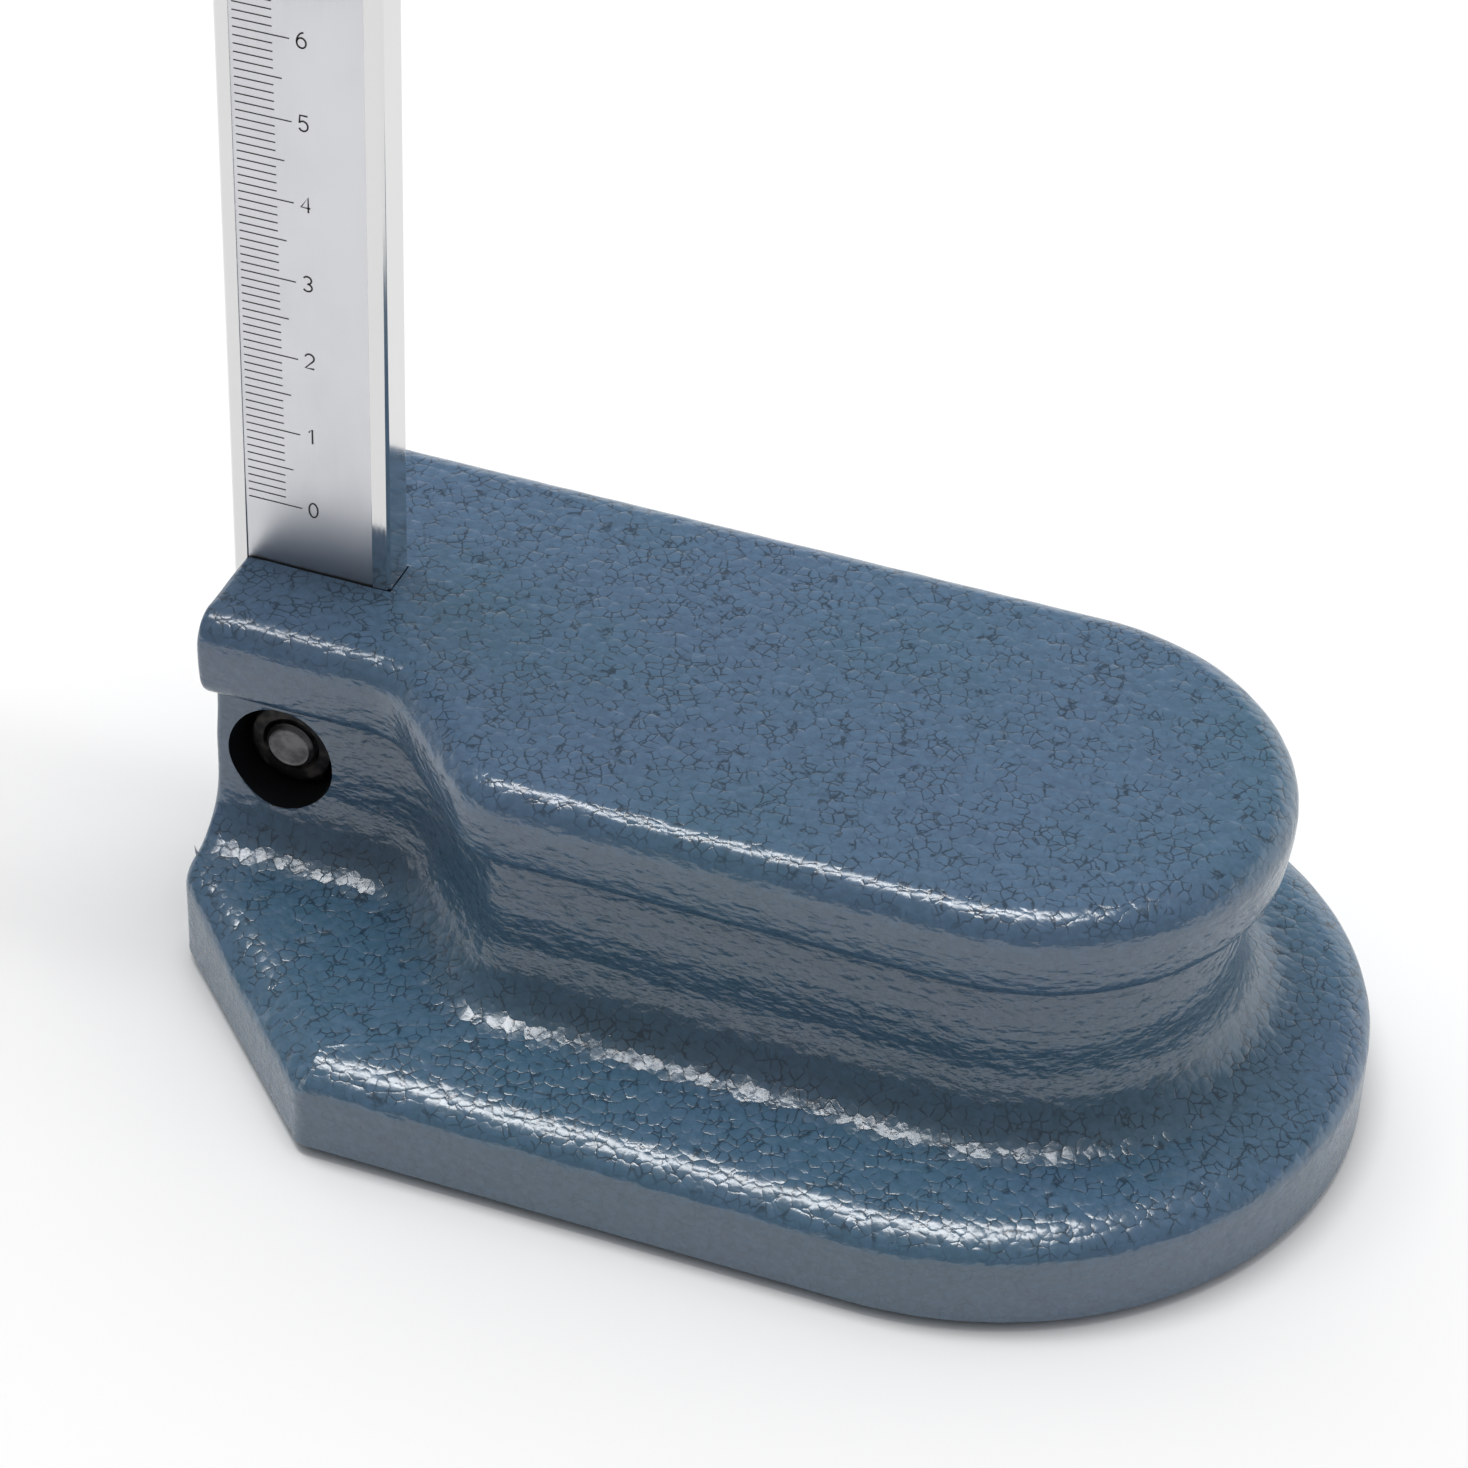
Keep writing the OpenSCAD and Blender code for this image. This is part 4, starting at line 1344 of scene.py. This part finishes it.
@dataclass
class BeamClamp:
    """Bolt, washer and nut that clamp the beam in its slot."""

    segments: int = 120
    thread_pitch: float = 1.0
    thread_depth: float = 0.3
    thread_end: float = 4.0
    chamfer: float = 0.5
    socket_flats: float = 5.0
    socket_deep: float = 3.0
    nut_flats: float = 10.0
    nut_bore: float = 3.08
    nut_turn: float = 0.35
    nut_cone: float = 1.9
    washer_bore: float = 3.2
    washer_round: float = 0.25

    def bolt(self) -> bpy.types.Object:
        """Socket-head bolt: its radius follows the thread at its end and a hexagon in its head.

        Returns:
            The piece.
        """
        low, high, centre = node_box("clamp_bolt")
        head_r = (high[0] - low[0]) / 2
        shank_r, head_h, tip, back = head_r * 0.6, head_r * 1.2, low[1], high[1]
        seat, c, floor = back - head_h, self.chamfer, back - self.socket_deep
        socket = self.socket_flats / 2
        corners = [
            (tip + 0.1, 0), (tip + 0.06, shank_r - c - 0.25), (tip, shank_r - c), (tip + c, shank_r),
            (seat, shank_r), (seat, head_r - 0.3), (seat + 0.3, head_r), (back - 0.5, head_r),
            (back, head_r - 0.5), (back, socket + 0.25), (back - 0.25, socket), (floor, socket), (floor, 0),
        ]
        profile = polyline(corners, self.thread_pitch / 8)
        spiral = threaded(self.thread_pitch, self.thread_depth, tip + 0.2, self.thread_end)

        def rule(angle: Array, place: Array, radius: Array) -> Array:
            """Thread near the tip, and a hexagon inside the head.

            Args:
                angle: angles round the axis, in a row.
                place: places along the axis, in a column.
                radius: the profile's radii, in a column.
            Returns:
                The radius at each place and angle.
            """
            plain = spiral(angle, place, radius)
            inside = (place > seat + 0.5) & (radius < socket + 0.3)
            return np.where(inside, radius * hexagon(2.0, angle), plain)

        mesh = turned("clamp_stud", profile, Axis.Y, centre, self.segments, rule)
        shade(mesh, 35)
        return settle(link_piece("clamp_stud", mesh, STUD_STEEL), "base", "dark_steel", "clamp_bolt")

    def nut(self) -> bpy.types.Object:
        """Hexagon nut: the radius is the lesser of the hexagon and the cone that turned its corners off.

        Returns:
            The piece.
        """
        low, high, middle = node_box("clamp_nut")
        front, back, flat, bore = low[1], high[1], self.nut_flats / 2, self.nut_bore
        full = flat / math.cos(math.pi / 6)
        corners = [
            (back, bore + 0.1), (front + 0.4, bore), (front, bore + 0.45), (front, flat - 0.1),
            (front + 0.35, full), (back - 0.05, full), (back, full - 0.1), (back, bore + 0.1),
        ]
        profile = polyline(corners, 0.2)[:-1]

        def rule(angle: Array, place: Array, radius: Array) -> Array:
            """Hexagon cut by a cone, whose radius grows by nut_cone for each mm behind the front face.

            Args:
                angle: angles round the axis, in a row.
                place: places along the axis, in a column.
                radius: the profile's radii, in a column.
            Returns:
                The radius at each place and angle.
            """
            cone = flat - 0.05 + self.nut_cone * (place - front)
            outer = np.minimum(hexagon(self.nut_flats, angle + self.nut_turn), np.maximum(cone, flat - 0.05))
            return np.minimum(radius + 0 * angle, outer)

        centre = (0.0, 0.0, middle[2])
        mesh = turned("clamp_nut_black", profile, Axis.Y, centre, self.segments, rule, closed=True)
        shade(mesh, 28)
        return settle(link_piece("clamp_nut_black", mesh, BLACK_STEEL), "base", "dark_steel", "clamp_nut")

    def washer(self) -> bpy.types.Object:
        """Flat washer with rounded edges.

        Returns:
            The piece.
        """
        low, high, middle = node_box("clamp_washer")
        front, back, outer = low[1], high[1], (high[0] - low[0]) / 2
        bore, r = self.washer_bore, self.washer_round
        corners = [
            (front + r, bore), (front, bore + r), (front, outer - r), (front + r, outer),
            (back - r, outer), (back, outer - r), (back, bore + r), (back - r, bore), (front + r, bore),
        ]
        profile = polyline(corners, 0.8)[:-1]
        centre = (0.0, 0.0, middle[2])
        mesh = turned("clamp_washer_black", profile, Axis.Y, centre, self.segments, closed=True)
        shade(mesh, 50)
        piece = link_piece("clamp_washer_black", mesh, BLACK_STEEL)
        return settle(piece, "base", "dark_steel", "clamp_washer")

    def build(self) -> list[bpy.types.Object]:
        """Builds and dresses the clamp."""
        return [self.bolt(), self.nut(), self.washer()]


# ---- turned screws and nuts ----


@dataclass(frozen=True)
class GripScrew:
    """A thumb screw: threaded shank, collar and a ribbed head, turned about one axis."""

    name: str
    node: str
    body: str
    axis: Axis
    head_len: float = 8.0
    collar_len: float = 1.2
    collar_r: float = 3.8
    shank_r: float = 2.5
    pitch: float = 0.8
    thread_depth: float = 0.4
    ribs: int = 24
    rib_depth: float = 0.3
    rim: float = 0.7

    def build(self) -> bpy.types.Object:
        """Carries the screw's profile round its axis, with ribs on the head and a thread on the shank.

        Only the thread needs fine steps along the axis, so of the other points two in three are left out.

        Returns:
            The screw.
        """
        low, high, centre = node_box(self.node)
        start, end = low[self.axis.value], high[self.axis.value]
        others = [i for i in range(3) if i != self.axis.value]
        head_r, rim = (high[others[0]] - low[others[0]]) / 2, self.rim
        head, collar = end - self.head_len, end - self.head_len - self.collar_len
        corners = [
            (start, 0), (start, self.shank_r - 0.45), (start + 0.4, self.shank_r), (collar, self.shank_r),
            (collar, self.collar_r - 0.15), (collar + 0.15, self.collar_r), (head - 0.1, self.collar_r),
            (head, self.collar_r + 0.1), (head, head_r - rim), (head + rim, head_r), (end - rim, head_r),
            (end, head_r - rim), (end, head_r - 1.8), (end - 0.35, head_r - 2.2), (end - 0.35, 0),
        ]
        profile = polyline(corners, self.pitch / 8)
        keep = np.ones(len(profile), bool)
        keep[1:-1] = (profile[1:-1, 0] < collar) | (np.arange(1, len(profile) - 1) % 3 == 0)
        ends = {tuple(np.round(c, 6)) for c in np.asarray(corners, float)}
        keep |= np.array([tuple(np.round(p, 6)) in ends for p in profile])
        profile = profile[keep]
        spiral = threaded(self.pitch, self.thread_depth, start + 0.3, collar)
        grip = ribbed(self.ribs, self.rib_depth, head_r, rim)

        def rule(angle: Array, place: Array, radius: Array) -> Array:
            """Ribs on the head, a thread on the shank."""
            return np.where(place > head - 0.01, grip(angle, place, radius), spiral(angle, place, radius))

        mesh = turned(self.name, profile, self.axis, centre, self.ribs * 8, rule)
        shade(mesh, 42)
        return settle(link_piece(self.name, mesh, BRIGHT_STEEL), self.body, "satin_steel", self.node)


# ---- slider, vernier, feed, scriber ----


@dataclass
class Slider:
    """The slider's frame with its vernier and its gib."""

    vernier_zero: float = 203.4
    divisions: int = 20
    division: float = 1.95
    edge: tuple[float, float] = (-7.2, -0.8)
    ridge: tuple[float, float] = (-10.6, -3.25)
    thick: float = 0.12
    proud: float = 0.012
    tick_start: float = 0.15
    tick_ends: Triple = (3.7, 3.0, 2.2)
    number_every: int = 4
    number_right: float = -10.9
    number_scale: float = 0.8

    def on_plate(self, across: Array, up: Array) -> Array:
        """Carries a drawing onto the plate, up the slope from the thin edge and on over the flat.

        Args:
            across: distance from the thin edge along the plate.
            up: height.
        Returns:
            The places in space, lifted off the plate by proud.
        """
        edge, ridge = np.array(self.edge), np.array(self.ridge)
        slope = ridge - edge
        run = float(np.linalg.norm(slope))
        share = np.clip(across / run, 0, 1)
        over = np.clip(across - run, 0, None)
        normal = np.array([-slope[1], slope[0]]) / run
        lift = np.where((across <= run)[:, None], normal, [0.0, -1.0]) * self.proud
        spot = edge + share[:, None] * slope - over[:, None] * np.array([1.0, 0.0]) + lift
        return np.stack([spot[:, 0], spot[:, 1], up], -1)

    def vernier_marks(self) -> bpy.types.Object:
        """The divisions on the sloping edge: long at each number, middling at each even one, else short.

        Returns:
            The piece.
        """
        whole, half, small = self.tick_ends
        strips = []
        for i in range(self.divisions + 1):
            end = whole if i % self.number_every == 0 else half if i % 2 == 0 else small
            strips.append(tick(self.tick_start, end, self.vernier_zero + i * self.division, self.thick))
        piece = marks_piece("vernier_lines", strips, self.on_plate, 2 * self.proud)
        return settle(piece, "slider", "vernier_steel")

    def vernier_numbers(self) -> bpy.types.Object:
        """Plain numbers beside every fourth division, on the plate's flat.

        Returns:
            The piece.
        """
        letters, size = Lettering(), self.number_scale
        strips = []
        for i in range(0, self.divisions + 1, self.number_every):
            text = str(i // 2)
            left = self.number_right - size * (letters.width + letters.pitch * (len(text) - 1))
            strips += letters.ribbons(text, left, self.vernier_zero + i * self.division, size)
        flat = upright_at(self.ridge[1] - self.proud)
        piece = marks_piece("vernier_numbers", strips, flat, 2 * self.proud)
        return settle(piece, "slider", "vernier_steel")

    def build(self) -> list[bpy.types.Object]:
        """Builds and dresses the slider's own pieces.

        Returns:
            The pieces.
        """
        body = from_cad("slider_body", "slider_frame", 0.3, SATIN_STEEL)
        plate = from_cad("vernier_scale_plate", "vernier_plate", 0.06, VERNIER_STEEL)
        screws = from_cad("vernier_plate_screws", "vernier_screws", 0.1, BLACK_STEEL)
        pieces = [
            settle(body, "slider", "satin_steel", "slider_frame"),
            settle(plate, "slider", "vernier_steel", "vernier_plate"),
            settle(screws, "slider", "dark_steel", "vernier_screws"),
            self.vernier_marks(),
            self.vernier_numbers(),
            GripScrew("slider_clamp_screw", "slider_lock_screw", "slider_lock", Axis.X).build(),
        ]
        dress_node("slider_gib", BRASS)
        dress_node("gib_set_screws", BLACK_STEEL)
        return pieces


def dress_node(node: str, finish: Finish) -> None:
    """Gives a CAD node that stays in view its finish.

    Args:
        node: the CAD node's name.
        finish: the finish that it gets.
    """
    mesh = frame["nodes"][node].data
    mesh.materials.clear()
    mesh.materials.append(material_of(finish))
    log.info("%s keeps its CAD mesh, in %s", node, finish.name)


@dataclass
class FineFeed:
    """The carriage, its clamp screw, the threaded spindle and the ribbed nut."""

    pitch: float = 0.8
    thread_depth: float = 0.42
    plain: float = 11.5
    nut_bore: float = 2.56
    ribs: int = 24
    rib_depth: float = 0.3
    rim: float = 0.6

    def spindle(self) -> bpy.types.Object:
        """The spindle: a right-hand thread above its plain seat in the slider.

        Returns:
            The piece.
        """
        low, high, centre = node_box("feed_spindle")
        r, start, end = (high[0] - low[0]) / 2, low[2], high[2]
        corners = [
            (start, 0), (start, r - 0.3), (start + 0.3, r), (start + self.plain, r),
            (end - 0.7, r), (end, r - 0.7), (end, 0),
        ]
        profile = polyline(corners, self.pitch / 8)
        rule = threaded(self.pitch, self.thread_depth, start + self.plain, end + 1)
        mesh = turned("threaded_spindle", profile, Axis.Z, centre, 48, rule)
        shade(mesh, 60)
        piece = link_piece("threaded_spindle", mesh, TOOL_STEEL)
        return settle(piece, "slider", "tool_steel", "feed_spindle")

    def nut(self) -> bpy.types.Object:
        """The feed nut: a ring with ribs and chamfered rims.

        Returns:
            The piece.
        """
        low, high, centre = node_box("feed_nut")
        r, bore, rim, a, b = (high[0] - low[0]) / 2, self.nut_bore, self.rim, low[2], high[2]
        corners = [
            (a + 0.3, bore), (a, bore + 0.3), (a, r - rim), (a + rim, r), (b - rim, r), (b, r - rim),
            (b, bore + 0.3), (b - 0.3, bore), (a + 0.3, bore),
        ]
        profile = polyline(corners, 0.3)[:-1]
        grip = ribbed(self.ribs, self.rib_depth, r, rim)
        mesh = turned("feed_nut_ribbed", profile, Axis.Z, centre, self.ribs * 8, grip, closed=True)
        shade(mesh, 42)
        return settle(link_piece("feed_nut_ribbed", mesh, BRIGHT_STEEL), "nut", "satin_steel", "feed_nut")

    def build(self) -> list[bpy.types.Object]:
        """Builds and dresses the fine feed.

        Returns:
            The pieces.
        """
        body = from_cad("feed_carriage_body", "feed_carriage", 0.3, SATIN_STEEL)
        dress_node("carriage_gib", BRASS)
        dress_node("spindle_set_screw", BLACK_STEEL)
        return [
            settle(body, "carriage", "satin_steel", "feed_carriage"),
            GripScrew("carriage_clamp_screw", "carriage_lock_screw", "carriage_lock", Axis.X).build(),
            self.spindle(),
            self.nut(),
        ]


@dataclass
class ScriberClamp:
    """The scriber with its carbide tip, and the shackle and screw that clamp it under the jaw."""

    def build(self) -> list[bpy.types.Object]:
        """Builds and dresses scriber and clamp.

        Returns:
            The pieces.
        """
        shackle = from_cad("scriber_clamp_box", "scriber_shackle", 0.45, SATIN_STEEL)
        blade = from_cad("scriber_blade", "scriber", 0.12, TOOL_STEEL)
        tip = from_cad("scriber_carbide_tip", "scriber_tip", 0.04, CARBIDE)
        return [
            settle(shackle, "shackle", "satin_steel", "scriber_shackle"),
            GripScrew("scriber_clamp_screw", "shackle_screw", "shackle_lock", Axis.Z).build(),
            settle(blade, "scriber", "tool_steel", "scriber"),
            settle(tip, "scriber", "carbide", "scriber_tip"),
        ]


# ---- studio ----


@dataclass
class Studio:
    """White floor, soft surrounding light, one narrow strip light overhead, and the camera."""

    floor_half: float = 6.0
    floor_colour: float = 0.96
    floor_dull: float = 0.60
    floor_fill: float = 0.36
    fill_far: float = 4.5
    low: float = 0.20
    rise: float = 0.63
    behind: float = 0.36
    seen: float = 0.955
    backdrop: float = 0.90
    room: float = 0.17
    screen_side: tuple[float, float] = (-0.1, 0.45)
    screen_top: tuple[float, float] = (0.25, 0.52)
    strip_aim: Triple = (40.0, 0.0, 30.0)
    strip_heading: Triple = (-0.15, 0.05, 0.98)
    strip_distance: float = 3.0
    strip_size: tuple[float, float] = (2.1, 0.70)
    strip_watts: float = 46.0
    lens: float = 112.79
    sensor: float = 36.0
    eye: Triple = (180.38, -382.42, 353.90)
    right: Triple = (0.93779549, 0.34541268, 0.03506699)
    down: Triple = (0.23935874, -0.57006692, -0.78595872)
    ahead: Triple = (-0.25148958, 0.74546213, -0.61728373)

    def floor(self) -> None:
        """A wide white floor just under the sole, which throws less light back than camera and gloss see.

        Far out, where the strip's light no longer reaches, the camera alone sees a glow that keeps it white:
        it rises smoothly with the distance, to floor_fill at fill_far metres.
        """
        half = self.floor_half / MM
        corners = [(-half, -half, -0.02), (half, -half, -0.02), (half, half, -0.02), (-half, half, -0.02)]
        mesh = mesh_of("studio_floor", np.array(corners), [(0, 1, 2, 3)])
        graph = Graph("studio_floor")
        path = graph.add("ShaderNodeLightPath").outputs
        direct = graph.calc("MAXIMUM", path["Is Camera Ray"], path["Is Glossy Ray"])
        away = graph.add("ShaderNodeVectorMath", {0: graph.place}, operation="LENGTH").outputs["Value"]
        fill = graph.span(away, 0.0, self.fill_far, 0.0, self.floor_fill)
        sockets = {
            "Base Color": graph.line(direct, self.floor_dull, self.floor_colour),
            "Emission Strength": graph.calc("MULTIPLY", fill, path["Is Camera Ray"]),
            "Emission Color": (1, 1, 1, 1),
            "Roughness": 1.0,
            "Specular IOR Level": 0.0,
        }
        for key, value in sockets.items():
            graph.put(graph.shader, key, value)
        mesh.materials.append(graph.material)
        piece = bpy.data.objects.new("studio_floor", mesh)
        bpy.context.scene.collection.objects.link(piece)

    def world(self) -> None:
        """Soft light that grows towards the zenith; reflections see a white backdrop and a dim room.

        With z the height of a direction and y its part towards the back, the light on a dull surface is
        low + rise * z + behind * y, where z counts from 0 up. A reflection sees backdrop where y is past
        screen_side and z below screen_top, room elsewhere, and a smooth change over those ranges.
        """
        world = bpy.data.worlds.new("studio")
        bpy.context.scene.world = world
        world.use_nodes = True
        nodes = Nodes(world.node_tree)
        sky = world.node_tree.nodes["Background"]
        path = nodes.add("ShaderNodeLightPath").outputs
        heading = nodes.add("ShaderNodeTexCoord").outputs["Generated"]
        split = nodes.add("ShaderNodeSeparateXYZ", {0: heading}).outputs
        back, height = split["Y"], split["Z"]
        up = nodes.line(height, self.low, self.low + self.rise)
        soft = nodes.calc("MULTIPLY_ADD", back, self.behind, up)
        low_down = nodes.span(height, *self.screen_top, 1, 0)
        screen = nodes.calc("MULTIPLY", nodes.span(back, *self.screen_side), low_down)
        mirror = nodes.line(screen, self.room, self.backdrop)
        glossy = nodes.add("ShaderNodeMix", {0: path["Is Glossy Ray"], 2: soft, 3: mirror}).outputs[0]
        shown = nodes.add("ShaderNodeMix", {0: path["Is Camera Ray"], 2: glossy, 3: self.seen}).outputs[0]
        nodes.put(sky, "Strength", shown)
        nodes.put(sky, "Color", (1, 1, 1, 1))

    def strip(self) -> None:
        """The narrow light whose reflection draws the white lines along rim, cove and flange."""
        lamp = bpy.data.lights.new("overhead_strip", "AREA")
        lamp.shape = "RECTANGLE"
        lamp.size, lamp.size_y = self.strip_size
        lamp.energy = self.strip_watts
        away = np.array(self.strip_heading) / np.linalg.norm(self.strip_heading)
        spot = np.array(self.strip_aim) * MM + self.strip_distance * away
        across = np.array([1.0, 0.0, 0.0]) - away[0] * away
        across /= np.linalg.norm(across)
        place = bpy.data.objects.new("overhead_strip", lamp)
        place.matrix_world = pose_matrix(across, np.cross(away, across), away, spot)
        bpy.context.scene.collection.objects.link(place)

    def camera(self) -> None:
        """The camera at the photograph's view."""
        data = bpy.data.cameras.new("photo_view")
        data.lens, data.sensor_width = self.lens, self.sensor
        data.clip_start, data.clip_end = 0.01, 30.0
        place = bpy.data.objects.new("photo_view", data)
        right, down, ahead = np.array([self.right, self.down, self.ahead])
        place.matrix_world = pose_matrix(right, -down, -ahead, np.array(self.eye) * MM)
        bpy.context.scene.collection.objects.link(place)
        bpy.context.scene.camera = place

    def build(self) -> None:
        """Sets up floor, lights and camera."""
        bpy.context.scene.view_settings.view_transform = "Standard"
        self.floor()
        self.world()
        self.strip()
        self.camera()


def pose_matrix(x: Array, y: Array, z: Array, spot: Array) -> Matrix:
    """The matrix of an object whose own axes are x, y and z and whose place in metres is spot.

    Args:
        x: the object's first axis.
        y: its second axis.
        z: its third axis.
        spot: its place in metres.
    Returns:
        The matrix.
    """
    rows = np.eye(4)
    rows[:3, 0], rows[:3, 1], rows[:3, 2], rows[:3, 3] = x, y, z, spot
    return Matrix(rows.tolist())


def main() -> None:
    """Builds every sub-assembly in order."""
    logging.basicConfig(level=logging.INFO, format="%(name)s: %(message)s")
    kept = set(frame["nodes"].values()) | set(frame["bodies"].values())
    for spare in [o for o in bpy.data.objects if o not in kept]:
        bpy.data.objects.remove(spare)
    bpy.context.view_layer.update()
    for assembly in (BaseCasting(), BeamAndScale(), BeamClamp(), Slider(), FineFeed(), ScriberClamp()):
        pieces = assembly.build()
        log.info("%s: %d pieces", type(assembly).__name__, len(pieces))
    Studio().build()


if __name__ == "__main__":
    main()
